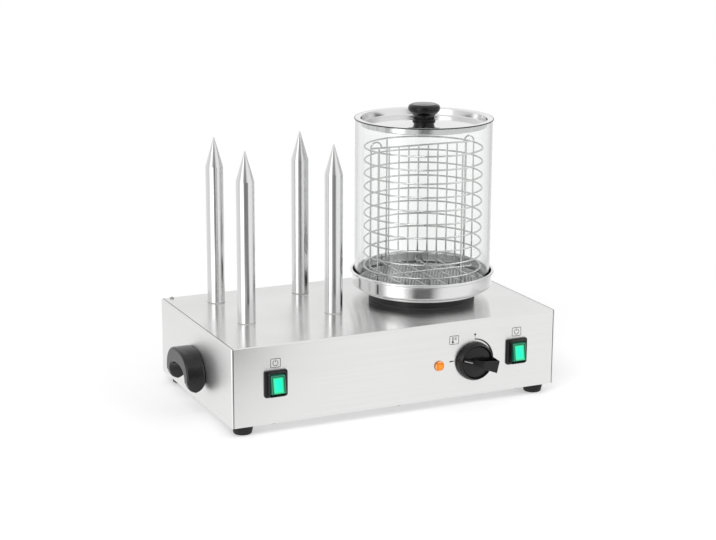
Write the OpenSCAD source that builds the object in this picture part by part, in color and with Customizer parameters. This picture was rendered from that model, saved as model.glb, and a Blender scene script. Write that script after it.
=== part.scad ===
// Counter-top hot dog toaster: a sheet-steel casing with four heated bun spikes,
// and a steamer made of a water pan, a glass cylinder, a wire basket and a lid.
// Units are millimetres. +Z is up, the control panel faces -Y, and +X is to the
// right of someone who faces it. The origin is on the table, under the middle.

/* [Casing] */
// Width of the casing, left to right
body_w = 490; // [460:1:560]
// Depth of the casing, front to back
body_d = 284; // [260:1:340]
// Height of the casing, from its lower edge to the deck
body_h = 109; // [100:1:140]
// Thickness of the casing sheet
sheet = 1; // [0.8:0.1:1.5]
// Outer radius of the folded edges
bend_r = 2; // [1.6:0.1:3]
// Width of each side panel's folded edge, seen from the front
side_edge = 2; // [1.8:0.1:3]
// Width of the seam between the cover and a side panel
seam = 1; // [0.3:0.1:1.4]
// Width of the flanges that the sheets overlap on
flange_w = 16; // [8:1:20]
// Distance from a flange's inner edge to the deck screw through it
deck_screw_edge = 4; // [3.5:0.5:5]
// Distance from the back to the deck screws
deck_screw_inset = 7; // [6:0.5:12]
// Diameter of the deck screws
deck_screw_d = 3; // [2.5:0.5:4]
// Length of the deck screws
deck_screw_l = 8; // [6:1:16]
// Width of the return that the bottom plate is screwed to
return_w = 22; // [20:1:28]

/* [Feet and base] */
// Height of the rubber feet
foot_h = 14; // [10:0.5:20]
// Diameter of a foot where it meets the bottom plate
foot_top_d = 29.5; // [22:0.5:32]
// Diameter of a foot where it meets the table
foot_base_d = 24.5; // [16:0.5:26]
// Distance from the casing's side to a foot's axis
foot_inset = 22; // [16:0.5:28]
// Distance from the casing's front or back to a foot's axis
foot_inset_y = 19.5; // [16:0.5:28]
// Distance between neighbouring screws along the front and back of the bottom plate
base_screw_pitch = 186; // [120:1:200]
// Distance from the casing's edge to those screws
base_screw_inset = 9; // [7:0.5:16]
// Head diameter of the base screws
base_screw_head_d = 8; // [6:0.5:10]
// Number of vent slots in the bottom plate
vent_count = 9; // [3:1:11]
// Length of a vent slot
vent_len = 60; // [30:5:80]

/* [Handles] */
// Length of a handle along the side panel
handle_l = 90; // [80:1:110]
// How far a handle stands out from the side panel
handle_out = 27; // [22:1:35]
// Height of a handle's arch above the ends of its legs
handle_h = 52.5; // [46:0.5:58]
// Height of the legs' ends above the casing's lower edge
handle_z = 22; // [16:1:30]
// Thickness of a handle's legs
handle_leg = 16; // [13:0.5:20]
// Thickness of a handle's arch at its top
handle_top = 21; // [16:0.5:24]
// Diameter of the handle screws
handle_screw_d = 4; // [3:0.5:5]
// Length of a handle screw inside its leg
handle_screw_l = 10; // [6:0.5:12]

/* [Bun spikes] */
// Outer diameter of a spike
spike_d = 25.2; // [20:0.2:30]
// Height of a spike above the deck, to its tip
spike_h = 239.5; // [180:0.5:260]
// Length of a spike's pointed end
spike_point = 42; // [25:1:60]
// Wall of the spike tube
spike_wall = 1.2; // [0.8:0.1:2]
// Distance from the casing's left edge to the left pair
spike_left = 66.5; // [50:0.5:80]
// Distance between the left pair and the right pair
spike_gap_x = 131; // [100:1:140]
// Distance from the casing's back edge to the back pair
spike_back = 49.5; // [40:0.5:60]
// Distance between the back pair and the front pair
spike_gap_y = 119.5; // [90:0.5:130]
// Diameter of the heating cartridge in a spike
cartridge_d = 12; // [8:0.5:12.5]
// Length of the heating cartridge
cartridge_l = 190; // [120:5:200]

/* [Heating plate] */
// Diameter of the heating plate on the deck
plate_d = 154; // [140:1:160]
// Height of the heating plate above the deck
plate_h = 12; // [9:0.5:18]
// Distance from the casing's right edge to the steamer's axis
steamer_right = 138.5; // [130:0.5:160]
// Distance from the casing's middle to the steamer's axis, towards the back
steamer_back = 3; // [-10:0.5:15]
// Tube diameter of the ring heater
ring_heater_d = 8; // [6:0.5:9]
// Diameter of the ring heater, to the middle of its tube
ring_heater_ring = 90; // [70:1:100]

/* [Water pan] */
// Radial room between the glass and the pan's wall
glass_play = 2.2; // [1:0.1:5]
// How far the rolled rim stands out beyond the pan's wall
rim_out = 3.4; // [2.4:0.2:4]
// Width of the step that the glass and the tray stand on
step_w = 10.5; // [10:0.5:16]
// Height of the step above the pan's base
pan_step_h = 5.7; // [4:0.1:8]
// Height of the pan's wall above the step
pan_wall_h = 23.3; // [20:0.1:34]
// Sheet of the pan, the tray and the lid
pan_sheet = 0.8; // [0.6:0.1:1]
// Diameter of the rim's roll
rim_roll_d = 4.4; // [3.6:0.2:6]

/* [Perforated tray] */
// Radial room between the tray and the glass
tray_play = 2; // [1:0.1:2.4]
// Height of the tray above the step
tray_h = 8; // [6:0.5:14]
// Diameter of the tray's holes
tray_hole_d = 5; // [3:0.5:7]
// Distance between the tray's holes
tray_pitch = 13; // [11:0.5:20]

/* [Glass cylinder] */
// Outer diameter of the glass
glass_d = 196; // [180:1:216]
// Wall of the glass
glass_wall = 3.5; // [3:0.1:4]
// Height of the glass
glass_h = 242; // [236:1:300]

/* [Basket] */
// Radial room between the basket's hoops and the glass
basket_play = 9; // [5:0.5:14]
// Diameter of the basket's wire
wire_d = 2.4; // [2:0.1:3]
// Number of hoops
hoop_count = 10; // [4:1:11]
// Distance between neighbouring hoops
hoop_pitch = 19.3; // [14:0.1:20]
// Height of the lowest hoop above the tray
hoop_start = 20; // [14:0.5:26]
// Height of the basket's floor wires above the tray
floor_lift = 10; // [6:0.5:12]
// Distance between the divider's upright wires
divider_pitch = 15.5; // [12:0.5:16]
// Number of the divider's upright wires
divider_count = 10; // [6:2:10]
// Turn of the four posts about the basket's axis, in degrees
post_turn = 14; // [5:1:40]
// Distance between the basket's floor wires
floor_pitch = 28; // [20:1:32]

/* [Lid] */
// How far the lid's edge stands out beyond the glass
lid_over = 1.5; // [1:0.1:3]
// Depth of the lid's sunk middle
lid_sink = 10.5; // [6:0.5:16]
// Rise of the lid's floor from its edge to its middle
lid_crown = 5; // [2:0.5:6]
// Radial room between the lid's sunk middle and the glass
lid_seat = 4.5; // [2.5:0.5:16]
// Widest diameter of the lid's knob
lid_knob_d = 46.4; // [36:0.2:54]
// Diameter of the knob's neck
lid_neck_d = 33; // [24:0.5:34]
// Height of the knob
lid_knob_h = 25.5; // [20:0.5:36]

/* [Switches] */
// Distance from the casing's middle to each switch
switch_x = 183; // [150:1:200]
// Height of the switches above the casing's lower edge
switch_z = 55.5; // [40:0.5:62]
// Width of a switch's bezel
bezel_w = 33; // [28:0.5:38]
// Height of a switch's bezel
bezel_h = 37; // [34:0.5:42]
// How far a switch's bezel stands out
bezel_out = 8.5; // [5:0.5:12]
// Width of a rocker
rocker_w = 20; // [12:0.5:21]
// Height of a rocker
rocker_h = 26; // [17:0.5:26.5]
// How far a rocker stands out beyond its bezel
rocker_out = 3; // [1:0.5:4]
// Tilt of a rocker to either side of its middle, in degrees
rocker_tilt = 10; // [4:1:10]

/* [Thermostat and lamp] */
// Distance from the casing's middle to the thermostat's shaft
thermostat_x = 115.5; // [95:0.5:130]
// Height of the shaft above the casing's lower edge
thermostat_z = 49.5; // [40:0.5:60]
// Diameter of the thermostat's knob
knob_d = 55; // [44:0.5:62]
// Thickness of the knob's skirt
knob_skirt = 10; // [8:0.5:14]
// How far the knob's grip stands out beyond the skirt
knob_grip_out = 14; // [10:0.5:24]
// Thickness of the knob's grip
knob_grip = 15; // [10:0.5:20]
// Diameter of the thermostat's shaft
shaft_d = 6; // [5:0.5:8]
// Distance from the casing's middle to the lamp
lamp_x = 61; // [40:1:80]
// Height of the lamp above the casing's lower edge
lamp_z = 48.5; // [36:0.5:60]
// Diameter of the lamp's lens
lamp_d = 13.5; // [12:0.5:18]

/* [Cable gland] */
// Distance from the casing's middle to the gland
gland_x = 150; // [60:1:200]
// Height of the gland above the casing's lower edge
gland_z = 30; // [22:1:45]
// Diameter of the gland's bore
gland_bore_d = 9; // [6:0.5:11]
// Thread diameter of the gland
gland_d = 20; // [16:1:24]
// How far the gland stands out at the back
gland_out = 25; // [20:1:34]
// Distance from the gland to the terminal block, along the back
block_from_gland = 60; // [45:1:80]
// Distance from the back to the terminal block
block_from_back = 60; // [40:1:90]
// Distance from the gland to the earth stud, along the back
earth_from_gland = 8; // [0:1:20]
// Distance from the back to the earth stud
earth_from_back = 46; // [30:1:48]
// Thread diameter of the earth stud
earth_d = 5; // [4:0.5:6]
// Length of the earth stud
earth_l = 16; // [12:1:24]

/* [Fits] */
// Gap between pieces that lift off or rest on each other
rest_gap = 0.3; // [0.2:0.05:0.5]
// Radial clearance of a screw or stud in its hole
hole_gap = 0.2; // [0.1:0.05:0.5]
// Radial clearance of a shaft or pin that turns
run_gap = 0.06; // [0.03:0.01:0.1]

/* [Hidden] */

$fn = 64;
eps = 0.01;

// Main levels and edges
base_z = foot_h;
deck_z = base_z + body_h;
front_y = -body_d / 2;
rear_y = body_d / 2;
plate_t = sheet;
return_z = base_z + plate_t;
cover_w = body_w - 2 * (side_edge + seam);
lap_gap = 0.2;
lap = sheet + lap_gap;
deck_screw_x = body_w / 2 - side_edge - flange_w + deck_screw_edge;

// Spikes: [x, y] of each
spike_xl = -body_w / 2 + spike_left;
spike_xr = spike_xl + spike_gap_x;
spike_yb = rear_y - spike_back;
spike_yf = spike_yb - spike_gap_y;
SPIKES = [[spike_xl, spike_yb], [spike_xl, spike_yf], [spike_xr, spike_yb], [spike_xr, spike_yf]];
stud_d = cartridge_d + 4;
stud_l = 20;
spike_floor = 4;
spike_seal_t = 0.8;
nut_t = 6;
washer_t = 1.5;

// Steamer, whose pieces follow the glass
pan_d = glass_d + 2 * (glass_play + pan_sheet);
pan_rim_d = pan_d + 2 * rim_out;
pan_base_d = pan_d - 2 * step_w;
glass_bore = glass_d - 2 * glass_wall;
tray_d = glass_bore - 2 * tray_play;
basket_d = glass_bore - 2 * basket_play;
lid_d = glass_d + 2 * lid_over;
lid_sink_d = glass_bore - 2 * lid_seat;
axis_x = body_w / 2 - steamer_right;
axis_y = steamer_back;
plate_seal_t = 0.8;
plate_z = deck_z + plate_h;
plate_lip = 6;
plate_roof = 8;
spigot_d = plate_d - 2 * plate_lip - 6;
spigot_wall = 6;
spigot_l = 10;
clamp_stud_d = 8;
clamp_t = 3;
pan_z = plate_z + rest_gap;
step_z = pan_z + pan_step_h + pan_sheet;
rim_z = step_z + pan_wall_h;
glass_z = step_z + rest_gap;
glass_top = glass_z + glass_h;
tray_z = step_z + tray_h + rest_gap;
lid_z = glass_top + rest_gap;
lid_floor_z = lid_z - lid_sink;
lid_mid_z = lid_floor_z + lid_crown;
lid_hub_d = lid_neck_d + 4;
lid_lip = 3;

// Basket
hoop_r = (basket_d - wire_d) / 2;
weld = 0.85;
post_r = hoop_r - weld * wire_d;
hoop_z0 = tray_z + hoop_start;
hoop_top = hoop_z0 + (hoop_count - 1) * hoop_pitch;
rail_z = tray_z + floor_lift;
basket_foot_z = tray_z + rest_gap;
top_rail_z = hoop_top + weld * wire_d;
ear_r = 8;

// Front panel parts
rocker_pin_out = 2.5;
rocker_pin_d = 3;
rocker_pin_reach = 0.8;
rocker_back = 3.6;
rocker_hollow = 1.5;
rocker_hollow_r = 30;
rocker_axis_y = front_y - rocker_pin_out;
rocker_face = bezel_out + rocker_out - rocker_pin_out;
well_gap = 0.5;
well_w = rocker_w + 2 * well_gap;
well_h = rocker_h + 2 * (well_gap + rocker_face * sin(rocker_tilt));
well_deep = 5;
bezel_base = 3;
frame_wall = 1.8;
switch_wall = 1;
switch_cut_w = well_w + 2 * (switch_wall + rest_gap);
switch_cut_h = well_h + 2 * (switch_wall + rest_gap);
switch_deep = 24;
tab_w = 6;
tab_l = 8;
tab_t = 0.8;
tab_pitch = 14;
shaft_hole_d = shaft_d + 4;
box_w = 44;
box_h = 40;
box_d = 30;
box_y = front_y + sheet;
knob_back_y = front_y - 1;
knob_recess_d = knob_d - 8;
knob_recess = 4;
shaft_in = 12;
shaft_end = knob_skirt + knob_grip_out - 6;
lamp_thread_d = 10;

// A shape of width w and height h whose two upper corners are round
module round_top(w, h, r) {
    translate([-w / 2, 0]) square([w, h - r]);
    translate([-w / 2 + r, 0]) square([w - 2 * r, h]);
    for (s = [-1, 1]) translate([s * (w / 2 - r), h - r]) circle(r = r);
}

// A rectangle with four round corners, centred
module round_rect(w, h, r) {
    square([w - 2 * r, h], center = true);
    square([w, h - 2 * r], center = true);
    for (s = [-1, 1], t = [-1, 1]) translate([s * (w / 2 - r), t * (h / 2 - r)]) circle(r = r);
}

// Runs a profile drawn in Y and Z along X, from x0 to x1
module along_x(x0, x1) {
    translate([x0, 0, 0]) rotate([90, 0, 90]) linear_extrude(x1 - x0) children();
}

// Runs a profile drawn in X and Z along Y, from y0 to y1
module along_y(y0, y1) {
    translate([0, y1, 0]) rotate([90, 0, 0]) linear_extrude(y1 - y0) children();
}

// A rod between two depths, standing on the front panel at [x, z]
module rod_y(x, z, y0, y1, d) {
    translate([x, y1, z]) rotate([90, 0, 0]) cylinder(d = d, h = y1 - y0);
}

// A pan-head screw: its head grows from the origin along -Z, its shank along +Z
module pan_screw(head_d, head_h, d, l) {
    difference() {
        translate([0, 0, -head_h]) union() {
            cylinder(d1 = head_d * 0.7, d2 = head_d, h = head_h * 0.5);
            translate([0, 0, head_h * 0.5]) cylinder(d = head_d, h = head_h * 0.5);
        }
        for (a = [0, 90]) rotate([0, 0, a])
            translate([0, 0, -head_h]) cube([head_d * 0.5, head_d * 0.14, head_h * 0.9], center = true);
    }
    cylinder(d = d, h = l);
}

// A hexagon nut of width w across its corners
module hex_nut(w, h, bore) {
    difference() {
        cylinder(d = w, h = h, $fn = 6);
        translate([0, 0, -eps]) cylinder(d = bore, h = h + 2 * eps);
    }
}

// The casing's section in Y and Z, k inside its outer face
module casing_section(k) {
    translate([0, base_z]) round_top(body_d - 2 * k, body_h - k, max(bend_r - k, 0.2));
}

// ---------------------------------------------------------------- casing

module switch_holes() {
    for (s = [-1, 1])
        translate([s * switch_x, front_y, base_z + switch_z])
            cube([switch_cut_w, 4 * sheet, switch_cut_h], center = true);
}

module panel_holes() {
    switch_holes();
    rod_y(thermostat_x, base_z + thermostat_z, front_y - sheet, front_y + 3 * sheet, shaft_hole_d);
    for (s = [-1, 1])
        rod_y(thermostat_x + s * 14, base_z + thermostat_z, front_y - sheet, front_y + 3 * sheet,
            3 + 2 * hole_gap);
    rod_y(lamp_x, base_z + lamp_z, front_y - sheet, front_y + 3 * sheet,
        lamp_thread_d + 2 * hole_gap);
}

module deck_holes() {
    for (p = SPIKES)
        translate([p[0], p[1], deck_z - 3 * sheet]) cylinder(d = stud_d + 2 * hole_gap, h = 6 * sheet);
    translate([axis_x, axis_y, deck_z - 3 * sheet]) cylinder(d = spigot_d + 2 * hole_gap, h = 6 * sheet);
    deck_screw_holes();
}

module deck_screw_places() {
    for (s = [-1, 1]) translate([s * deck_screw_x, rear_y - deck_screw_inset, deck_z]) children();
}

module deck_screw_holes() {
    deck_screw_places() translate([0, 0, -deck_screw_l])
        cylinder(d = deck_screw_d + 2 * hole_gap, h = 2 * deck_screw_l);
}

module base_screw_places() {
    for (i = [-1:1], s = [-1, 1])
        translate([i * base_screw_pitch + 3, s * (body_d / 2 - base_screw_inset), base_z]) children();
}

module foot_places() {
    for (s = [-1, 1], t = [-1, 1])
        translate([s * (body_w / 2 - foot_inset), t * (body_d / 2 - foot_inset_y), 0]) children();
}

module top_cover() {
    color("gainsboro") difference() {
        along_x(-cover_w / 2, cover_w / 2) difference() {
            casing_section(0);
            difference() {
                casing_section(sheet);
                for (s = [-1, 1])
                    translate([s * (body_d - return_w) / 2, return_z + sheet / 2])
                        square([return_w, sheet], center = true);
            }
            translate([0, base_z]) square([body_d - 2 * sheet, 2 * plate_t], center = true);
        }
        panel_holes();
        deck_holes();
        base_screw_places() translate([0, 0, -eps]) cylinder(d = 4 + 2 * hole_gap, h = 5);
        rod_y(gland_x, base_z + gland_z, rear_y - 3 * sheet, rear_y + sheet, gland_d + 2 * hole_gap);
        foot_places() translate([0, 0, base_z]) cylinder(d = foot_nut_room, h = 5);
    }
}

module side_panel() {
    x0 = -body_w / 2;
    difference() {
        intersection() {
            union() {
                along_x(x0, x0 + sheet) casing_section(0);
                along_x(x0 + sheet - eps, x0 + side_edge) difference() {
                    casing_section(0);
                    casing_section(lap + sheet);
                }
                along_x(x0 + side_edge - eps, x0 + side_edge + flange_w) difference() {
                    casing_section(lap);
                    casing_section(lap + sheet);
                    translate([0, base_z]) square([body_d, 3 * plate_t + 2 * lap], center = true);
                }
                translate([x0 + sheet - eps, -body_d / 2 + return_w + 4, return_z])
                    cube([flange_w, body_d - 2 * return_w - 8, sheet]);
            }
            translate([0, 0, base_z]) linear_extrude(body_h) round_rect(body_w, body_d, bend_r);
            along_y(front_y, rear_y) translate([0, base_z]) round_top(body_w, body_h, bend_r);
        }
        translate([x0 + sheet, 0, base_z - eps]) translate([0, -body_d / 2 + sheet, 0])
            cube([side_edge + flange_w, body_d - 2 * sheet, plate_t + eps]);
        handle_screw_places() rotate([0, 90, 0]) translate([0, 0, -5])
            cylinder(d = handle_screw_d + 2 * hole_gap, h = 10);
        foot_places() translate([0, 0, base_z]) cylinder(d = foot_nut_room, h = 5);
        deck_screw_holes();
    }
}

module left_side_panel() { color("lightgray") side_panel(); }

module right_side_panel() { color("lightgray") mirror([1, 0, 0]) side_panel(); }

module bottom_plate() {
    w = body_w - 2 * sheet - 2 * rest_gap;
    d = body_d - 2 * sheet - 2 * rest_gap;
    color("darkgray") difference() {
        translate([0, 0, base_z]) linear_extrude(plate_t) difference() {
            square([w, d], center = true);
            for (i = [0:vent_count - 1], s = [-1, 1])
                translate([(i - (vent_count - 1) / 2) * 20, s * 45]) round_rect(6, vent_len, 2.9);
        }
        base_screw_places() translate([0, 0, -eps]) cylinder(d = 4 + 2 * hole_gap, h = 5);
        foot_places() translate([0, 0, base_z - eps]) cylinder(d = 4 + 2 * hole_gap, h = 5);
        translate([earth_x, earth_y, base_z - eps]) cylinder(d = earth_d + 2 * hole_gap, h = 5);
    }
}

module bottom_screws() {
    color("silver") base_screw_places() pan_screw(base_screw_head_d, 3.2, 4, 8);
}

foot_nut_room = 12;

module foot() {
    rotate_extrude() polygon([
        [2 + hole_gap, 5], [5, 5], [5, 0], [foot_base_d / 2 - 1, 0], [foot_base_d / 2, 1],
        [foot_top_d / 2, foot_h - 2], [foot_top_d / 2, foot_h], [2 + hole_gap, foot_h]
    ]);
}

module placed_foot(s, t) {
    color("dimgray")
        translate([s * (body_w / 2 - foot_inset), t * (body_d / 2 - foot_inset_y), 0]) foot();
}

module foot_screws() {
    color("silver") foot_places() {
        translate([0, 0, 5]) pan_screw(8, 2.8, 4, foot_h + sheet - 5 + 4.5);
        translate([0, 0, base_z + plate_t]) hex_nut(8, 3.2, 4);
    }
}

// ---------------------------------------------------------------- handles

// Points of one quarter of a squared-off ellipse with half-axes a and b
function squircle(a, b, n, steps, from, to) = [
    for (i = [0:steps])
        let (t = from + (to - from) * i / steps)
        [a * sign(cos(t)) * pow(abs(cos(t)), 2 / n), b * sign(sin(t)) * pow(abs(sin(t)), 2 / n)]
];

handle_leg_h = 14;
handle_round = 24;
handle_base_z = base_z + handle_z;
handle_spring_z = handle_base_z + handle_leg_h;
handle_rise = handle_h - handle_leg_h;
handle_grip_w = handle_l / 2 - handle_leg;
handle_grip_h = handle_rise - handle_top;

// A handle's arch in Y and Z, from one leg's end over the top to the other's
module handle_arch() {
    translate([0, handle_spring_z]) polygon(concat(
        [[handle_l / 2 - 4, -handle_leg_h]],
        squircle(handle_l / 2, handle_rise, 2.5, handle_round, 0, 180),
        [[-handle_l / 2 + 4, -handle_leg_h], [-handle_grip_w - 4, -handle_leg_h]],
        squircle(handle_grip_w, handle_grip_h, 2.3, handle_round, 180, 0),
        [[handle_grip_w + 4, -handle_leg_h]]
    ));
}

// A handle's section in X and Z, with its legs' ends rounded
module handle_section() {
    r = handle_out / 2;
    translate([-body_w / 2 - r, handle_base_z + r]) circle(r = r);
    translate([-body_w / 2 - handle_out, handle_base_z + r]) square([handle_out, handle_h]);
}

module handle_screw_places() {
    for (s = [-1, 1])
        translate([-body_w / 2, s * (handle_l / 2 - handle_leg / 2), handle_spring_z]) children();
}

module handle() {
    difference() {
        intersection() {
            along_x(-body_w / 2 - handle_out, -body_w / 2) handle_arch();
            along_y(-handle_l, handle_l) handle_section();
        }
        handle_screw_places() rotate([0, -90, 0]) translate([0, 0, -eps])
            cylinder(d = handle_screw_d, h = handle_screw_l + 2 + eps);
    }
}

module left_handle() { color("#202020") handle(); }

module right_handle() { color("#202020") mirror([1, 0, 0]) handle(); }

module handle_screws() {
    color("silver") for (m = [0, 1]) mirror([m, 0, 0]) handle_screw_places()
        translate([sheet, 0, 0]) rotate([0, -90, 0])
            pan_screw(2 * handle_screw_d, 0.7 * handle_screw_d, handle_screw_d, handle_screw_l + sheet);
}

module deck_screws() {
    color("silver") deck_screw_places() mirror([0, 0, 1])
        pan_screw(2 * deck_screw_d, deck_screw_d * 2 / 3, deck_screw_d, deck_screw_l);
}

// ---------------------------------------------------------------- heating plate

module on_axis(z) { translate([axis_x, axis_y, z]) children(); }

module heating_plate() {
    r = plate_d / 2;
    rs = spigot_d / 2;
    ri = rs - spigot_wall;
    roof = plate_z - plate_roof;
    color("#303030") on_axis(0) rotate_extrude() polygon([
        [0, plate_z], [r - 1.5, plate_z], [r, plate_z - 1.5], [r, deck_z + plate_seal_t],
        [rs, deck_z + plate_seal_t], [rs, deck_z - spigot_l], [ri, deck_z - spigot_l],
        [ri, roof], [clamp_stud_d / 2, roof], [clamp_stud_d / 2, deck_z - 26], [0, deck_z - 26]
    ]);
}

module heating_plate_seal() {
    color("firebrick") on_axis(deck_z) difference() {
        cylinder(d = plate_d - 1, h = plate_seal_t);
        translate([0, 0, -eps]) cylinder(d = spigot_d, h = plate_seal_t + 2 * eps);
    }
}

heater_z = plate_z - plate_roof - ring_heater_d / 2;
clamp_z = heater_z - ring_heater_d / 2 - clamp_t;
terminal_l = 22;

module ring_heater() {
    color("dimgray") on_axis(heater_z) {
        rotate_extrude() translate([ring_heater_ring / 2, 0]) circle(d = ring_heater_d);
        for (a = [80, 100]) rotate([0, 0, a]) translate([ring_heater_ring / 2, 0, -terminal_l])
            cylinder(d = ring_heater_d - 2, h = terminal_l);
    }
}

module heater_clamp() {
    color("silver") on_axis(clamp_z) difference() {
        cylinder(d = ring_heater_ring + ring_heater_d, h = clamp_t);
        translate([0, 0, -eps]) cylinder(d = clamp_stud_d + 2 * hole_gap, h = clamp_t + 2 * eps);
        for (a = [80, 100]) rotate([0, 0, a]) translate([ring_heater_ring / 2, 0, -eps])
            cylinder(d = ring_heater_d, h = clamp_t + 2 * eps);
    }
}

module heater_clamp_nut() {
    color("silver") on_axis(clamp_z - nut_t) hex_nut(clamp_stud_d * 1.9, nut_t, clamp_stud_d);
}

// ---------------------------------------------------------------- spikes

module spike(p) {
    r = spike_d / 2;
    ri = r - spike_wall;
    bore = cartridge_d / 2 + hole_gap;
    z0 = deck_z + spike_seal_t;
    tip_z = deck_z + spike_h;
    shoulder = tip_z - spike_point;
    color("lightgray") translate([p[0], p[1], 0]) rotate_extrude() polygon([
        [bore, deck_z - stud_l], [stud_d / 2, deck_z - stud_l], [stud_d / 2, z0], [r, z0],
        [r, shoulder], [0.6, tip_z - 0.8], [0, tip_z], [0, tip_z - 5],
        [ri, shoulder - 2], [ri, z0 + spike_floor], [bore, z0 + spike_floor]
    ]);
}

module cartridge(p) {
    z0 = deck_z - stud_l - 6;
    color("goldenrod") translate([p[0], p[1], z0]) {
        cylinder(d = cartridge_d, h = cartridge_l);
        for (s = [-1, 1]) translate([s * 2.6, 0, -10]) cylinder(d = 2, h = 10);
    }
}

module spike_seals() {
    color("firebrick") for (p = SPIKES) translate([p[0], p[1], deck_z]) difference() {
        cylinder(d = spike_d, h = spike_seal_t);
        translate([0, 0, -eps]) cylinder(d = stud_d, h = spike_seal_t + 2 * eps);
    }
}

module spike_washers() {
    color("silver") for (p = SPIKES) translate([p[0], p[1], deck_z - sheet - washer_t]) difference() {
        cylinder(d = stud_d + 12, h = washer_t);
        translate([0, 0, -eps]) cylinder(d = stud_d, h = washer_t + 2 * eps);
    }
}

module spike_nuts() {
    color("silver") for (p = SPIKES) translate([p[0], p[1], deck_z - sheet - washer_t - nut_t])
        hex_nut(stud_d + 10, nut_t, stud_d);
}

// ---------------------------------------------------------------- switches

module switch_housing(s) {
    slot = well_w + 2 * (rocker_pin_reach + hole_gap);
    color("#181818") translate([s * switch_x, 0, base_z + switch_z]) difference() {
        union() {
            along_y(front_y - bezel_base, front_y) round_rect(bezel_w, bezel_h, 3);
            along_y(front_y - bezel_out, front_y - bezel_base + eps)
                round_rect(well_w + 2 * frame_wall, well_h + 2 * frame_wall, 2.5);
            along_y(front_y - eps, front_y + switch_deep)
                square([switch_cut_w - 2 * rest_gap, switch_cut_h - 2 * rest_gap], center = true);
            for (t = [-1, 1])
                translate([-tab_w / 2, front_y + switch_deep - eps, (t * tab_pitch - tab_t) / 2])
                    cube([tab_w, tab_l, tab_t]);
        }
        along_y(front_y - bezel_out - 1, front_y + well_deep) square([well_w, well_h], center = true);
        translate([-slot / 2, rocker_axis_y, 0]) rotate([0, 90, 0])
            cylinder(d = rocker_pin_d + 2 * run_gap, h = slot);
    }
}

// A rocker hangs on its pin, its face hollowed along its height
module rocker(s) {
    pin_l = well_w + 2 * rocker_pin_reach;
    color("#20b070") translate([s * switch_x, rocker_axis_y, base_z + switch_z])
        rotate([-rocker_tilt, 0, 0]) {
            difference() {
                along_y(-rocker_face, rocker_back) round_rect(rocker_w, rocker_h, 0.8);
                translate([0, rocker_hollow - rocker_hollow_r - rocker_face, 0]) rotate([0, 90, 0])
                    cylinder(r = rocker_hollow_r, h = rocker_w + 1, center = true, $fn = 128);
            }
            translate([-pin_l / 2, 0, 0]) rotate([0, 90, 0]) cylinder(d = rocker_pin_d, h = pin_l);
        }
}

// ---------------------------------------------------------------- lamp

lamp_l = 22;
lamp_flange = 1.5;

module lamp_body() {
    color("#b06010") {
        rod_y(lamp_x, base_z + lamp_z, front_y - lamp_flange, front_y, lamp_d + 1);
        rod_y(lamp_x, base_z + lamp_z, front_y - eps, front_y + lamp_l, lamp_thread_d);
        for (s = [-1, 1])
            rod_y(lamp_x + s * 2.5, base_z + lamp_z, front_y + lamp_l - eps, front_y + lamp_l + 8, 2);
    }
}

module lamp_lens() {
    r = lamp_d / 2;
    color("orange") translate([lamp_x, front_y - lamp_flange, base_z + lamp_z]) rotate([90, 0, 0])
        rotate_extrude() intersection() {
            translate([0, r * 0.62 - 2 * r]) circle(r = 2 * r, $fn = 96);
            square([r, r]);
        }
}

module lamp_nut() {
    color("silver") translate([lamp_x, front_y + sheet + 3, base_z + lamp_z]) rotate([90, 0, 0])
        hex_nut(lamp_thread_d + 6, 3, lamp_thread_d);
}

// ---------------------------------------------------------------- thermostat

thermostat_axis_z = base_z + thermostat_z;

module thermostat() {
    color("beige") difference() {
        union() {
            translate([thermostat_x - box_w / 2, box_y, thermostat_axis_z - box_h / 2])
                cube([box_w, box_d, box_h]);
            rod_y(thermostat_x, thermostat_axis_z, box_y + box_d - eps, box_y + box_d + 8, 26);
            for (s = [-1, 1]) translate([thermostat_x + s * 12 - 3, box_y + box_d - eps,
                thermostat_axis_z + 14]) cube([6, 9, 0.8]);
        }
        rod_y(thermostat_x, thermostat_axis_z, box_y - 1, box_y + shaft_in + 1, shaft_d + 2 * run_gap);
        for (s = [-1, 1]) rod_y(thermostat_x + s * 14, thermostat_axis_z, box_y - 1, box_y + 10, 3);
        rod_y(thermostat_x, thermostat_axis_z, box_y + box_d + 2, box_y + box_d + 9, 4);
    }
}

module thermostat_shaft() {
    color("silver")
        rod_y(thermostat_x, thermostat_axis_z, knob_back_y - shaft_end, box_y + shaft_in, shaft_d);
}

module thermostat_knob() {
    r = knob_d / 2;
    face = knob_back_y - knob_skirt;
    color("#181818") difference() {
        union() {
            translate([thermostat_x, knob_back_y, thermostat_axis_z]) rotate([90, 0, 0])
                cylinder(r1 = r, r2 = r - 1.5, h = knob_skirt);
            translate([thermostat_x, 0, thermostat_axis_z]) intersection() {
                along_y(face - knob_grip_out, face + eps) square([knob_d, knob_grip], center = true);
                translate([0, knob_back_y, 0]) rotate([90, 0, 0])
                    cylinder(r1 = r, r2 = r - 3, h = knob_skirt + knob_grip_out);
            }
        }
        rod_y(thermostat_x, thermostat_axis_z, knob_back_y - knob_recess, knob_back_y + 1, knob_recess_d);
        rod_y(thermostat_x, thermostat_axis_z, knob_back_y - shaft_end - 0.5, knob_back_y + 1,
            shaft_d + 2 * run_gap);
    }
}

module thermostat_screws() {
    color("silver") for (s = [-1, 1])
        translate([thermostat_x + s * 14, front_y, thermostat_axis_z]) rotate([-90, 0, 0])
            pan_screw(6, 2, 3, sheet + 8);
}

function unit(v) = v / norm(v);

// Direction of a route at its point i
function heading(p, i) = unit(
    (i < len(p) - 1 ? unit(p[i + 1] - p[i]) : [0, 0, 0]) + (i > 0 ? unit(p[i] - p[i - 1]) : [0, 0, 0])
);

// Sideways vectors along a route, each carried on from the one before it
function sideways(p, i, n) = i == len(p) ? [] :
    let (t = heading(p, i), m = unit(n - (n * t) * t)) concat([m], sideways(p, i + 1, m));

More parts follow.
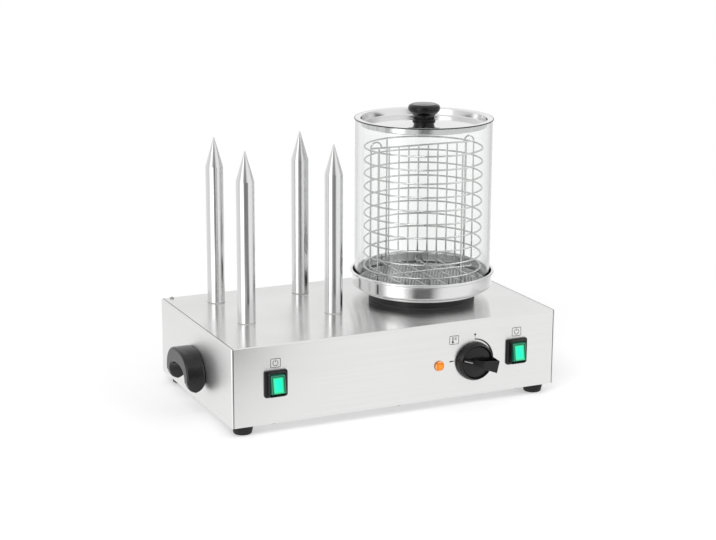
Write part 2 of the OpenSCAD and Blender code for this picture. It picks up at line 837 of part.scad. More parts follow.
// A route with its corners cut, which two passes make smooth
function cut_corners(p) = concat(
    [p[0]],
    [for (i = [1:len(p) - 2], k = [-1, 1]) p[i] + 0.25 * (p[i + k] - p[i])],
    [p[len(p) - 1]]
);

// A bent tube of diameter d along a route
module bent_tube(route, d, sides = 8) {
    p = cut_corners(cut_corners(route));
    n = sideways(p, 0, unit(cross(heading(p, 0), [0.3, 0.5, 0.8])));
    last = len(p) - 1;
    rings = [for (i = [0:last], k = [0:sides - 1])
        let (b = cross(heading(p, i), n[i]), a = 360 * k / sides)
        p[i] + d / 2 * (cos(a) * n[i] + sin(a) * b)];
    walls = [for (i = [0:last - 1], k = [0:sides - 1], half = [0, 1])
        let (a = i * sides + k, b = i * sides + (k + 1) % sides)
        half == 0 ? [a, a + sides, b + sides] : [a, b + sides, b]];
    polyhedron(rings, concat(
        walls, [[for (k = [0:sides - 1]) k]], [[for (k = [sides - 1:-1:0]) last * sides + k]]
    ));
}

probe_z = clamp_z - 5;
probe_d = 6;

module thermostat_probe() {
    y0 = box_y + box_d + 2;
    bulb_y = axis_y - 30;
    color("#c07840") {
        bent_tube([
            [thermostat_x, y0, thermostat_axis_z], [thermostat_x, y0 + 18, thermostat_axis_z],
            [thermostat_x, y0 + 24, probe_z - 8], [thermostat_x, bulb_y - 6, probe_z + 2]
        ], 2.4);
        translate([thermostat_x, bulb_y - 8, probe_z + 2]) rotate([-90, 0, 0])
            cylinder(d = probe_d, h = 34);
    }
}

// ---------------------------------------------------------------- wiring and inlet

block_w = 60;
block_d = 18;
block_h = 14;
block_x = gland_x - block_from_gland;
block_y = rear_y - block_from_back;
earth_x = gland_x - earth_from_gland;
earth_y = rear_y - earth_from_back;
ways = 6;

module way_places() {
    for (i = [0:ways - 1])
        translate([block_x + (i - (ways - 1) / 2) * block_w / ways, block_y, base_z + plate_t]) children();
}

module terminal_block() {
    color("ivory") difference() {
        translate([block_x - block_w / 2, block_y - block_d / 2, base_z + plate_t])
            cube([block_w, block_d, block_h]);
        way_places() {
            translate([0, 0, block_h - 5]) cylinder(d = 5, h = 6);
            translate([0, 0, block_h / 2]) rotate([90, 0, 0]) cylinder(d = 4, h = block_d + 2, center = true);
        }
    }
}

module terminal_screws() {
    color("silver") way_places() translate([0, 0, block_h - 5]) difference() {
        cylinder(d = 4.8, h = 3);
        translate([0, 0, 3]) cube([6, 0.8, 2], center = true);
    }
}

module cable_gland() {
    z = base_z + gland_z;
    r = gland_d / 2;
    bore = gland_bore_d / 2;
    color("#202020") translate([gland_x, rear_y, z]) rotate([-90, 0, 0]) difference() {
        union() {
            translate([0, 0, -14]) cylinder(r = r, h = 14 + eps);
            cylinder(d = gland_d * 1.35, h = gland_out * 0.4, $fn = 6);
            translate([0, 0, gland_out * 0.4 - eps])
                cylinder(r1 = r + 1.5, r2 = r - 2, h = gland_out * 0.6 + eps);
        }
        translate([0, 0, -15]) cylinder(r = bore, h = gland_out + 16);
    }
}

module gland_nut() {
    color("#202020") translate([gland_x, rear_y - sheet, base_z + gland_z]) rotate([90, 0, 0])
        hex_nut(gland_d * 1.4, 5, gland_d);
}

module earth_stud() {
    color("#c0a040") translate([earth_x, earth_y, base_z]) {
        pan_screw(1.8 * earth_d, 0.6 * earth_d, earth_d, earth_l);
        translate([0, 0, plate_t]) hex_nut(1.8 * earth_d, 0.8 * earth_d, earth_d);
    }
}

// Wires run from the ways of the terminal block, and stop where they are joined
module wiring_loom() {
    z = base_z + plate_t + block_h / 2;
    d = 2.2;
    low = base_z + plate_t + 5;
    lamp_tail_y = front_y + lamp_l + 9;
    x = [for (i = [0:ways - 1]) block_x + (i - (ways - 1) / 2) * block_w / ways];
    yf = block_y - block_d / 2;
    back = front_y + switch_deep + tab_l;
    color("saddlebrown") {
        bent_tube([[x[0], yf, z], [x[0], yf - 20, low], [-switch_x, back + 20, low],
            [-switch_x, back + d, base_z + switch_z - tab_pitch / 2]], d);
        bent_tube([[x[1], yf, z], [x[1], yf - 30, low + 4], [lamp_x + 2.5, lamp_tail_y + 13, low + 4],
            [lamp_x + 2.5, lamp_tail_y, base_z + lamp_z]], d);
        bent_tube([[x[5], yf, z], [x[5] + 20, yf - 16, low], [switch_x, back + 20, low],
            [switch_x, back + d, base_z + switch_z - tab_pitch / 2]], d);
        bent_tube([[x[4], yf, z], [x[4] + 6, yf - 14, low + 6],
            [thermostat_x + 12, box_y + box_d + 30, low + 6],
            [thermostat_x + 12, box_y + box_d + 11, thermostat_axis_z + 14.4]], d);
    }
}

// ---------------------------------------------------------------- steamer

module water_pan() {
    t = pan_sheet;
    ro = pan_d / 2;
    rb = pan_base_d / 2;
    roll = rim_roll_d / 2;
    step = step_z - t;
    color("silver") on_axis(0) rotate_extrude($fn = 128) {
        polygon([
            [0, pan_z], [rb - 1, pan_z], [rb, pan_z + 1], [rb, step], [ro - 2, step], [ro, step + 2],
            [ro, rim_z - roll], [ro - t, rim_z - roll], [ro - t, step + 2 + t / 2],
            [ro - 2 - t / 2, step_z], [rb - t, step_z], [rb - t, pan_z + 1 + t / 2],
            [rb - 1 - t / 2, pan_z + t], [0, pan_z + t]
        ]);
        translate([pan_rim_d / 2 - roll, rim_z - roll]) circle(d = rim_roll_d, $fn = 32);
    }
}

module tray_holes() {
    n = ceil(tray_d / tray_pitch / 2) + 1;
    for (i = [-n:n], j = [-n:n]) {
        x = (i + (abs(j) % 2) / 2) * tray_pitch;
        y = j * tray_pitch * sqrt(3) / 2;
        if (norm([x, y]) < tray_d / 2 - tray_hole_d) translate([x, y]) circle(d = tray_hole_d, $fn = 24);
    }
}

module perforated_tray() {
    color("gray") on_axis(tray_z - pan_sheet) {
        linear_extrude(pan_sheet) difference() {
            circle(d = tray_d, $fn = 128);
            tray_holes();
        }
        translate([0, 0, pan_sheet - tray_h]) difference() {
            cylinder(d = tray_d, h = tray_h - pan_sheet + eps, $fn = 128);
            translate([0, 0, -eps]) cylinder(d = tray_d - 2 * pan_sheet, h = tray_h, $fn = 128);
        }
    }
}

module glass_cylinder() {
    ro = glass_d / 2;
    ri = ro - glass_wall;
    e = 0.8;
    color([0.8, 0.9, 0.95, 0.4]) on_axis(glass_z) rotate_extrude($fn = 128) polygon([
        [ri, e], [ri + e, 0], [ro - e, 0], [ro, e],
        [ro, glass_h - e], [ro - e, glass_h], [ri + e, glass_h], [ri, glass_h - e]
    ]);
}

// A hoop of wire about the basket's axis
module hoop(z, r) {
    translate([0, 0, z]) rotate_extrude($fn = 96) translate([r, 0]) circle(d = wire_d, $fn = 24);
}

module wire_up(x, y, z0, z1) {
    translate([x, y, z0]) cylinder(d = wire_d * 0.92, h = z1 - z0, $fn = 24);
}

module wire_x(y, z, half) {
    translate([-half, y, z]) rotate([0, 90, 0]) cylinder(d = wire_d, h = 2 * half, $fn = 24);
}

module wire_y(x, z, half) {
    translate([x, half, z]) rotate([90, 0, 0]) cylinder(d = wire_d, h = 2 * half, $fn = 24);
}

module basket() {
    floor_z = rail_z - weld * wire_d;
    floor_n = floor(post_r * 0.8 / floor_pitch);
    color("silver") on_axis(0) {
        for (i = [0:hoop_count - 1]) hoop(hoop_z0 + i * hoop_pitch, hoop_r);
        for (a = [0:90:270]) rotate([0, 0, a + post_turn])
            wire_up(post_r, 0, basket_foot_z, hoop_top + wire_d);
        for (s = [-1, 1]) wire_up(s * post_r, 0, rail_z, hoop_top + wire_d);
        wire_x(0, rail_z, post_r);
        wire_x(0, top_rail_z, post_r);
        for (i = [0:divider_count - 1])
            wire_up((i - (divider_count - 1) / 2) * divider_pitch, 0, rail_z, top_rail_z);
        for (i = [-floor_n:floor_n]) {
            x = i * floor_pitch;
            half = sqrt(post_r * post_r - x * x);
            wire_y(x, floor_z, half);
            for (s = [-1, 1]) wire_up(x, s * half, floor_z, hoop_z0);
        }
        for (s = [-1, 1]) translate([s * (post_r - ear_r), 0, top_rail_z + wire_d * 0.2])
            rotate([90, 0, 0]) rotate_extrude(angle = 180, $fn = 48)
                translate([ear_r, 0]) circle(d = wire_d, $fn = 24);
    }
}

// ---------------------------------------------------------------- lid

module lid() {
    t = pan_sheet;
    ro = lid_d / 2;
    rs = lid_sink_d / 2;
    hub = lid_hub_d / 2;
    color("silver") on_axis(0) rotate_extrude($fn = 128) polygon([
        [2.5 + hole_gap, lid_mid_z], [hub, lid_mid_z], [rs - 4, lid_floor_z], [rs - 1, lid_floor_z],
        [rs, lid_floor_z + 1], [rs + 1, lid_z], [ro - t, lid_z], [ro - t, lid_z - lid_lip],
        [ro, lid_z - lid_lip], [ro, lid_z + t - 0.5], [ro - 0.5, lid_z + t], [rs + 1 - t, lid_z + t],
        [rs - t, lid_floor_z + 1 + t / 2], [rs - 1 - t / 2, lid_floor_z + t],
        [rs - 4, lid_floor_z + t], [hub, lid_mid_z + t], [2.5 + hole_gap, lid_mid_z + t]
    ]);
}

module lid_knob() {
    z0 = lid_mid_z + pan_sheet;
    rn = lid_neck_d / 2;
    rk = lid_knob_d / 2;
    h = lid_knob_h;
    color("#101010") on_axis(z0) rotate_extrude($fn = 96) polygon([
        [2.5, 0], [rn, 0], [rn, h * 0.27], [rn + 1.2, h * 0.38], [rk - 1.2, h * 0.6],
        [rk, h * 0.7], [rk, h * 0.8], [rk - 1, h * 0.9], [rk - 3, h * 0.97], [rk - 5, h],
        [0, h], [0, h - 8], [2.5, h - 8]
    ]);
}

module lid_screw() {
    color("silver") on_axis(lid_mid_z) pan_screw(11, 3, 5, lid_knob_h + pan_sheet - 9);
}

// ---------------------------------------------------------------- nodes

top_cover();
left_side_panel();
right_side_panel();
bottom_plate();
bottom_screws();
placed_foot(-1, -1);  // foot_front_left
placed_foot(1, -1);  // foot_front_right
placed_foot(-1, 1);  // foot_back_left
placed_foot(1, 1);  // foot_back_right
foot_screws();
left_handle();
right_handle();
handle_screws();
deck_screws();
heating_plate();
heating_plate_seal();
ring_heater();
heater_clamp();
heater_clamp_nut();
spike(SPIKES[0]);  // spike_back_left
spike(SPIKES[1]);  // spike_front_left
spike(SPIKES[2]);  // spike_back_right
spike(SPIKES[3]);  // spike_front_right
cartridge(SPIKES[0]);  // cartridge_back_left
cartridge(SPIKES[1]);  // cartridge_front_left
cartridge(SPIKES[2]);  // cartridge_back_right
cartridge(SPIKES[3]);  // cartridge_front_right
spike_seals();
spike_washers();
spike_nuts();
switch_housing(-1);  // left_switch_housing
rocker(-1);  // left_rocker
switch_housing(1);  // right_switch_housing
rocker(1);  // right_rocker
lamp_body();
lamp_lens();
lamp_nut();
thermostat();
thermostat_shaft();
thermostat_knob();
thermostat_screws();
thermostat_probe();
terminal_block();
terminal_screws();
cable_gland();
gland_nut();
earth_stud();
wiring_loom();
water_pan();
perforated_tray();
glass_cylinder();
basket();
lid();
lid_knob();
lid_screw();
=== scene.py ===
import math

import bmesh
import bpy
from mathutils import Matrix, Vector
from mathutils.geometry import delaunay_2d_cdt


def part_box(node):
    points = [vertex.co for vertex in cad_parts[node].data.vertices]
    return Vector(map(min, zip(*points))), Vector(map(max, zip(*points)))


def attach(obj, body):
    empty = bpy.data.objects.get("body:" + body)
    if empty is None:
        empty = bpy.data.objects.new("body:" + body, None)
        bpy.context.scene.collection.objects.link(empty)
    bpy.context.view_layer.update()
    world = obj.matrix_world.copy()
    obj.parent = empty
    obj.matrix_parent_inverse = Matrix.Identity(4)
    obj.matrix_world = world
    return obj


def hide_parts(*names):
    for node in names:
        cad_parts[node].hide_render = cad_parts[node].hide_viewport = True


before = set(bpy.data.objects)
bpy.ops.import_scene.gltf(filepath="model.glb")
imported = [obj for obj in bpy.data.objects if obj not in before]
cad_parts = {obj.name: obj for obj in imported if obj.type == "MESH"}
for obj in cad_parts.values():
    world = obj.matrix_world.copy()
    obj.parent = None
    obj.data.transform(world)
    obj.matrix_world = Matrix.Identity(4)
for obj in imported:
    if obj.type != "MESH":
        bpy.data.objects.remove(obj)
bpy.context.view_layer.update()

bl_info = {
    "name": "Hot Dog Toaster",
    "version": (1, 0, 0),
    "blender": (4, 5, 0),
    "location": "View3D > Sidebar > Toaster",
    "description": "Dresses the packed hot dog toaster and sets it on a pale studio floor",
    "category": "Object",
}

# ---------------------------------------------------------------- places taken from the frame

def measured(node):
    """A node's lowest and highest corners, its middle and half its width."""
    low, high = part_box(node)
    return low, high, (low + high) / 2, (high.x - low.x) / 2


PAN_LOW, PAN_HIGH, AXIS, PAN_RIM = measured("water_pan")
COVER_LOW, COVER_HIGH, _, _ = measured("top_cover")
PANEL_Y = COVER_LOW.y
DECK_Z = COVER_HIGH.z
SEAL_TOP = DECK_Z + 0.0008
PRINT_LIFT = 0.00006
SPIKES = ("back_left", "front_left", "back_right", "front_right")


# ---------------------------------------------------------------- profiles and meshes

def filleted(points, closed=False, step=math.radians(14)):
    """Turns (x, y, fillet radius) points into plain (x, y) points with the fillets as arcs."""
    made = []
    count = len(points)
    for i, (x, y, radius) in enumerate(points):
        at_end = not closed and i in (0, count - 1)
        if radius == 0 or at_end:
            made.append((x, y))
            continue
        corner = Vector((x, y))
        back = Vector(points[i - 1][:2]) - corner
        on = Vector(points[(i + 1) % count][:2]) - corner
        half = math.acos(max(-1, min(1, back.normalized().dot(on.normalized())))) / 2
        run = min(radius / math.tan(half), 0.49 * back.length, 0.49 * on.length)
        centre = corner + (back.normalized() + on.normalized()).normalized() * run / math.cos(half)
        start = corner + back.normalized() * run - centre
        end = corner + on.normalized() * run - centre
        turn = math.atan2(start.x * end.y - start.y * end.x, start.dot(end))
        steps = max(2, math.ceil(abs(turn) / step))
        for k in range(steps + 1):
            angle = math.atan2(start.y, start.x) + turn * k / steps
            made.append((centre.x + start.length * math.cos(angle),
                         centre.y + start.length * math.sin(angle)))
    return braced(made, closed)


def braced(points, closed=False, near=0.0003):
    """Adds a point close to each end of every long stretch, which keeps its shading flat."""
    made = []
    count = len(points)
    for i in range(count if closed else count - 1):
        here, there = Vector(points[i]), Vector(points[(i + 1) % count])
        made.append(points[i])
        if (there - here).length > 10 * near:
            along = (there - here).normalized() * near
            made += [tuple(here + along), tuple(there - along)]
    if not closed:
        made.append(points[-1])
    return made


def thickened(line, thickness):
    """Turns an open centreline into the closed outline of a sheet of that thickness."""
    sides = ([], [])
    for i, point in enumerate(line):
        before = Vector(line[max(i - 1, 0)])
        after = Vector(line[min(i + 1, len(line) - 1)])
        along = (after - before).normalized()
        normal = Vector((-along.y, along.x)) * thickness / 2
        sides[0].append(tuple(Vector(point) + normal))
        sides[1].append(tuple(Vector(point) - normal))
    return sides[0] + sides[1][::-1]


def arc(centre, radius, start, end, steps=12):
    """Points on an arc about a centre; the angles are in degrees."""
    return [
        (centre[0] + radius * math.cos(math.radians(start + (end - start) * k / steps)),
         centre[1] + radius * math.sin(math.radians(start + (end - start) * k / steps)))
        for k in range(steps + 1)
    ]


def finished(bm, name, sharp=math.radians(32)):
    """Closes a bmesh into a smooth-shaded mesh whose corners stay sharp."""
    bmesh.ops.recalc_face_normals(bm, faces=bm.faces)
    mesh = bpy.data.meshes.new(name)
    bm.to_mesh(mesh)
    bm.free()
    mesh.polygons.foreach_set("use_smooth", [True] * len(mesh.polygons))
    mesh.set_sharp_from_angle(angle=sharp)
    return mesh


def turn_into(bm, profile, place, closed=False, steps=160):
    """Adds a profile of (radius, height) points turned about a local Z axis, which place puts."""
    rings = []
    for radius, height in profile:
        if radius < 1e-7:
            rings.append([bm.verts.new(place @ Vector((0, 0, height)))])
        else:
            rings.append([
                bm.verts.new(place @ Vector((radius * math.cos(math.tau * k / steps),
                                             radius * math.sin(math.tau * k / steps), height)))
                for k in range(steps)
            ])
    followers = rings[1:] + (rings[:1] if closed else [])
    for low, high in zip(rings, followers):
        for k in range(steps):
            after = (k + 1) % steps
            if len(low) == 1 and len(high) == 1:
                break
            if len(low) == 1:
                bm.faces.new((low[0], high[after], high[k]))
            elif len(high) == 1:
                bm.faces.new((low[k], low[after], high[0]))
            else:
                bm.faces.new((low[k], low[after], high[after], high[k]))


def turned(name, profile, place, closed=False, steps=160):
    """A turned mesh from one profile."""
    bm = bmesh.new()
    turn_into(bm, profile, place, closed, steps)
    return finished(bm, name)


def loft_into(bm, rings, closed=False):
    """Joins rings of points, all of one length, with faces."""
    made = [[bm.verts.new(point) for point in ring] for ring in rings]
    followers = made[1:] + (made[:1] if closed else [])
    count = len(made[0])
    for one, other in zip(made, followers):
        for k in range(count):
            after = (k + 1) % count
            bm.faces.new((one[k], one[after], other[after], other[k]))
    if not closed:
        bm.faces.new(made[0])
        bm.faces.new(made[-1][::-1])


def wire_into(bm, route, radius, sides=12, closed=False):
    """Adds a round wire along a route, with domed ends where it isn't closed."""
    points = [Vector(p) for p in route]
    count = len(points)
    normal = None
    rings = []
    for i, point in enumerate(points):
        before = points[i - 1] if closed or i else points[0]
        after = points[(i + 1) % count] if closed or i < count - 1 else points[-1]
        along = (after - before).normalized()
        if normal is None:
            normal = along.orthogonal().normalized()
        normal = (normal - along * normal.dot(along)).normalized()
        side = along.cross(normal)
        rings.append((point, along, normal, side, radius))
    if not closed:
        first, last = rings[0], rings[-1]
        dome = [(0.5, 0.87), (0.85, 0.5)]
        head = [(first[0] - first[1] * radius * out, *first[1:4], radius * share)
                for out, share in reversed(dome)]
        tail = [(last[0] + last[1] * radius * out, *last[1:4], radius * share)
                for out, share in dome]
        rings = head + rings + tail
    loft_into(bm, [
        [point + (normal * math.cos(math.tau * k / sides) + side * math.sin(math.tau * k / sides)) * size
         for k in range(sides)]
        for point, along, normal, side, size in rings
    ], closed=closed)


def rounded_rectangle(width, height, radius, steps=5):
    """Points of a rectangle with round corners, centred, counter-clockwise."""
    radius = min(radius, width / 2 - 1e-6, height / 2 - 1e-6)
    made = []
    for turn, (sx, sy) in enumerate(((1, 1), (-1, 1), (-1, -1), (1, -1))):
        centre = (sx * (width / 2 - radius), sy * (height / 2 - radius))
        made += arc(centre, radius, 90 * turn, 90 * turn + 90, steps)
    beside = []
    for i, here in enumerate(made):
        beside.append(here)
        if i % (steps + 1) == steps:
            there = made[(i + 1) % len(made)]
            for share in (0.03, 0.97):
                beside.append((here[0] + (there[0] - here[0]) * share,
                               here[1] + (there[1] - here[1]) * share))
    return beside


def block_into(bm, place, levels):
    """Adds a moulded block: levels are (width, height, corner radius, depth), joined in order."""
    loft_into(bm, [
        [place @ Vector((x, y, depth)) for x, y in rounded_rectangle(width, height, radius)]
        for width, height, radius, depth in levels
    ])


def facing_panel(x, z, out=0.0):
    """Puts local X along the panel, local Y up and local Z out of the control panel."""
    return Matrix(((1, 0, 0, x), (0, 0, -1, PANEL_Y - out), (0, 1, 0, z), (0, 0, 0, 1)))


def upright(x, y, z=0.0):
    """Puts local Z up at a place."""
    return Matrix.Translation((x, y, z))


ON_AXIS = upright(AXIS.x, AXIS.y)


def add_piece(name, mesh, body, slot, material, *stands_for):
    """Links a mesh as a piece that rides on a body and stands for CAD nodes."""
    piece = bpy.data.objects.new(name, mesh)
    bpy.context.scene.collection.objects.link(piece)
    piece.data.materials.append(material)
    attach(piece, body)
    if stands_for:
        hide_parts(*stands_for)
    return piece


def dress(node, material):
    """Gives a CAD node a finish."""
    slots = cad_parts[node].data.materials
    slots.clear()
    slots.append(material)


# ---------------------------------------------------------------- shader nodes

def add_node(tree, kind, inputs=None, **settings):
    """Adds a shader node; inputs are numbers, colours or the outputs that feed them."""
    node = tree.nodes.new("ShaderNode" + kind)
    for name, value in settings.items():
        setattr(node, name, value)
    for socket, value in (inputs or {}).items():
        if isinstance(value, bpy.types.NodeSocket):
            tree.links.new(value, node.inputs[socket])
        else:
            node.inputs[socket].default_value = value
    return node


def calculated(tree, operation, *values):
    """One step of arithmetic on numbers or outputs."""
    return add_node(tree, "Math", dict(enumerate(values)), operation=operation).outputs["Value"]


def colour_ramp(tree, value, stops):
    """Turns a value into colours by (place, colour) stops."""
    ramp = add_node(tree, "ValToRGB", {"Fac": value})
    points = ramp.color_ramp.elements
    while len(points) < len(stops):
        points.new(0.5)
    for point, (place, colour) in zip(points, stops):
        point.position = place
        point.color = (*colour, 1)
    return ramp.outputs["Color"]


# ---------------------------------------------------------------- finishes

class Finish:
    """A procedural material around one Principled shader."""

    def __init__(self, name, colour, metallic=0.0, roughness=0.4, **sockets):
        self.material = bpy.data.materials.new(name)
        self.material.use_nodes = True
        self.tree = self.material.node_tree
        self.shader = next(n for n in self.tree.nodes if n.type == "BSDF_PRINCIPLED")
        self.colour = colour[:3]
        self.roughness = roughness
        sockets.update(Base_Color=(*self.colour, 1), Metallic=metallic, Roughness=roughness)
        for socket, value in sockets.items():
            self.shader.inputs[socket.replace("_", " ")].default_value = value
        self.place = self.add("TexCoord").outputs["Object"]

    def add(self, kind, inputs=None, **settings):
        """Adds a node to this finish."""
        return add_node(self.tree, kind, inputs, **settings)

    def math(self, operation, *values):
        """One step of arithmetic."""
        return calculated(self.tree, operation, *values)

    def feed(self, socket, value):
        """Feeds one of the shader's sockets."""
        self.tree.links.new(value, self.shader.inputs[socket])

    def apart(self):
        """The object's coordinates, one by one."""
        return self.add("SeparateXYZ", {"Vector": self.place}).outputs

    def noise_on(self, vector, scale, detail=3.0, roughness=0.5):
        """A noise value on a vector of its own."""
        return self.add("TexNoise", {"Vector": vector, "Scale": scale, "Detail": detail,
                                     "Roughness": roughness}).outputs["Fac"]

    def noise(self, scale, detail=3.0, stretch=(1, 1, 1), roughness=0.5):
        """A noise value, drawn out along an axis by stretch."""
        stretched = self.add("Mapping", {"Vector": self.place, "Scale": stretch}).outputs["Vector"]
        return self.noise_on(stretched, scale, detail, roughness)

    def spread(self, value, low, high, from_low=0.3, from_high=0.7):
        """Maps a value's middle range to low..high."""
        return self.add("MapRange", {"Value": value, "From Min": from_low, "From Max": from_high,
                                     "To Min": low, "To Max": high}).outputs["Result"]

    def tint(self, value, darkest, lightest):
        """Multiplies the colour by a value between two shares."""
        dark, light = ((*(min(1, c * share) for c in self.colour), 1)
                       for share in (darkest, lightest))
        mix = self.add("Mix", {"Factor": self.spread(value, 0, 1), "A": dark, "B": light},
                       data_type="RGBA")
        self.feed("Base Color", mix.outputs["Result"])

    def vary(self, value, amount):
        """Varies the roughness about its own value."""
        self.feed("Roughness", self.spread(value, self.roughness - amount, self.roughness + amount))

    def bump(self, value, height, strength=1.0):
        """Raises the surface by a value; height is in metres."""
        bump = self.add("Bump", {"Height": value, "Distance": height, "Strength": strength})
        self.feed("Normal", bump.outputs["Normal"])

    def grain_along(self, axis):
        """Draws highlights out across a straight grain that runs along an axis."""
        normal = self.add("NewGeometry").outputs["True Normal"]
        cross = self.add("VectorMath", {0: normal, 1: axis}, operation="CROSS_PRODUCT")
        self.feed("Tangent", cross.outputs["Vector"])


def brushed_sheet(name, colour, roughness, grain, across, anisotropy=1.0):
    """Sheet steel with a straight brushed grain along one axis."""
    finish = Finish(name, colour, 1.0, roughness, Anisotropic=anisotropy)
    finish.grain_along(grain)
    finish.bump(finish.noise(1.0, 4, across, 0.65), 0.000008, 0.4)
    finish.tint(finish.noise(0.35, 3, across), 0.985, 1.01)
    finish.vary(finish.noise(9.0, 4), 0.035)
    return finish.material


def turned_steel(name, colour, roughness, x, y, rings=1600.0, anisotropy=0.55):
    """Steel turned about a vertical axis at x and y, with fine rings round it."""
    finish = Finish(name, colour, 1.0, roughness, Anisotropic=anisotropy, Anisotropic_Rotation=0.25)
    tangent = finish.add("Tangent", direction_type="RADIAL", axis="Z")
    finish.feed("Tangent", tangent.outputs["Tangent"])
    apart, step = finish.apart(), finish.math
    dx, dy = step("SUBTRACT", apart["X"], x), step("SUBTRACT", apart["Y"], y)
    reach = step("SQRT", step("ADD", step("MULTIPLY", dx, dx), step("MULTIPLY", dy, dy)))
    ring = finish.add("CombineXYZ", {
        "X": step("MULTIPLY", step("ARCTAN2", dy, dx), 0.4),
        "Y": step("MULTIPLY", reach, rings), "Z": step("MULTIPLY", apart["Z"], rings)})
    fine = finish.noise_on(ring.outputs["Vector"], 1.0)
    finish.bump(fine, 0.000004, 0.3)
    finish.tint(fine, 0.98, 1.01)
    finish.vary(finish.noise(14.0, 4), 0.04)
    return finish.material


def plain_metal(name, colour, roughness, mottle=0.05):
    """Plated or cast metal with small mottling."""
    finish = Finish(name, colour, 1.0, roughness)
    finish.tint(finish.noise(160.0, 4), 1 - 2 * mottle, 1 + mottle)
    finish.vary(finish.noise(60.0, 4), 0.06)
    finish.bump(finish.noise(900.0), 0.00002, 0.3)
    return finish.material


def moulded_plastic(name, colour, roughness, grit=700.0, relief=0.00003, **sockets):
    """Moulded plastic with a fine grit, slight cloudiness and uneven gloss."""
    finish = Finish(name, colour, 0.0, roughness, **sockets)
    finish.tint(finish.noise(70.0, 4), 0.82, 1.22)
    finish.vary(finish.noise(30.0, 5), 0.05)
    finish.bump(finish.noise(grit, 4), relief, 0.35)
    return finish.material


def soft_rubber(name, colour, roughness=0.72):
    """Rubber or silicone: dull, with a fine skin and dusty patches."""
    finish = Finish(name, colour, 0.0, roughness)
    finish.tint(finish.noise(45.0, 5), 0.75, 1.4)
    finish.vary(finish.noise(25.0, 4), 0.08)
    finish.bump(finish.noise(1200.0, 4), 0.00004, 0.5)
    return finish.material


def clear_glass(name, colour):
    """Clear borosilicate with hardly any colour and a trace of handling marks."""
    finish = Finish(name, colour, 0.0, 0.012, IOR=1.47, Transmission_Weight=1.0)
    finish.vary(finish.noise(22.0, 5), 0.01)
    finish.bump(finish.noise(7.0, 2), 0.00002, 0.15)
    return finish.material


def glowing(name, colour, strength, centre, half, border, stops):
    """A tinted lens over a lamp; stops are (share of the border from the edge, glow colour), and pale stops
    near the edge are painted highlights.
    """
    finish = Finish(name, colour, 0.0, 0.16, IOR=1.49, Emission_Strength=strength)
    apart, step = finish.apart(), finish.math
    inward = [step("SUBTRACT", reach, step("ABSOLUTE", step("SUBTRACT", apart[axis], middle_at)))
              for axis, middle_at, reach in zip("XZ", centre, half)]
    edge = finish.spread(step("MINIMUM", *inward), 0, 1, 0, border)
    finish.feed("Emission Color", colour_ramp(finish.tree, edge, stops))
    finish.tint(finish.noise(300.0), 0.85, 1.15)
    finish.vary(finish.noise(90.0), 0.05)
    return finish.material


def printed_ink(name, colour):
    """Screen-printed ink, slightly uneven."""
    finish = Finish(name, colour, 0.0, 0.5)
    finish.tint(finish.noise(900.0, 3), 0.8, 1.5)
    finish.vary(finish.noise(400.0, 3), 0.08)
    return finish.material


# ---------------------------------------------------------------- sizes and colours

def colour_setting(name, description, default):
    """A colour that the panel shows."""
    return bpy.props.FloatVectorProperty(
        name=name, description=description, subtype="COLOR", size=3, default=default)


def length_setting(name, description, default, low, high):
    """A length that the panel shows, with its limits."""
    return bpy.props.FloatProperty(
        name=name, description=description, default=default, min=low, max=high, unit="LENGTH")


def angle_setting(name, description, degrees):
    """An angle that the panel shows."""
    return bpy.props.FloatProperty(
        name=name, description=description, default=math.radians(degrees), subtype="ANGLE")


class ToasterCasing(bpy.types.PropertyGroup):
    """Sizes and colours of the casing and what is fastened to it."""

    steel: colour_setting(
        "Sheet steel", "Colour of the brushed casing", (0.83, 0.83, 0.825))
    black: colour_setting(
        "Black mouldings", "Colour of the handles, knobs and switch housings", (0.006, 0.006, 0.006))
    ink: colour_setting(
        "Ink", "Colour of the printed signs", (0.012, 0.012, 0.012))
    rocker_width: length_setting(
        "Rocker width", "Width of a switch's rocker", 0.020, 0.016, 0.0205)
    rocker_height: length_setting(
        "Rocker height", "Height of a switch's rocker", 0.026, 0.02, 0.028)
    rocker_tilt: angle_setting(
        "Rocker tilt", "How far a rocker leans when its switch is on", 10)
    handle_edge: length_setting(
        "Handle edge", "Radius of a handle's outer edges", 0.0032, 0.001, 0.006)
    handle_leg: length_setting(
        "Handle leg", "Thickness of a handle's legs", 0.016, 0.013, 0.02)
    handle_top: length_setting(
        "Handle top", "Thickness of a handle's arch at its top", 0.021, 0.016, 0.024)
    handle_foot: length_setting(
        "Handle foot", "Height of a handle's legs below its arch", 0.014, 0.01, 0.02)
    sign_size: length_setting(
        "Sign size", "Width of the printed signs over the controls", 0.0147, 0.008, 0.02)
    line: length_setting(
        "Printed line", "Width of the printed lines", 0.0007, 0.0002, 0.0015)


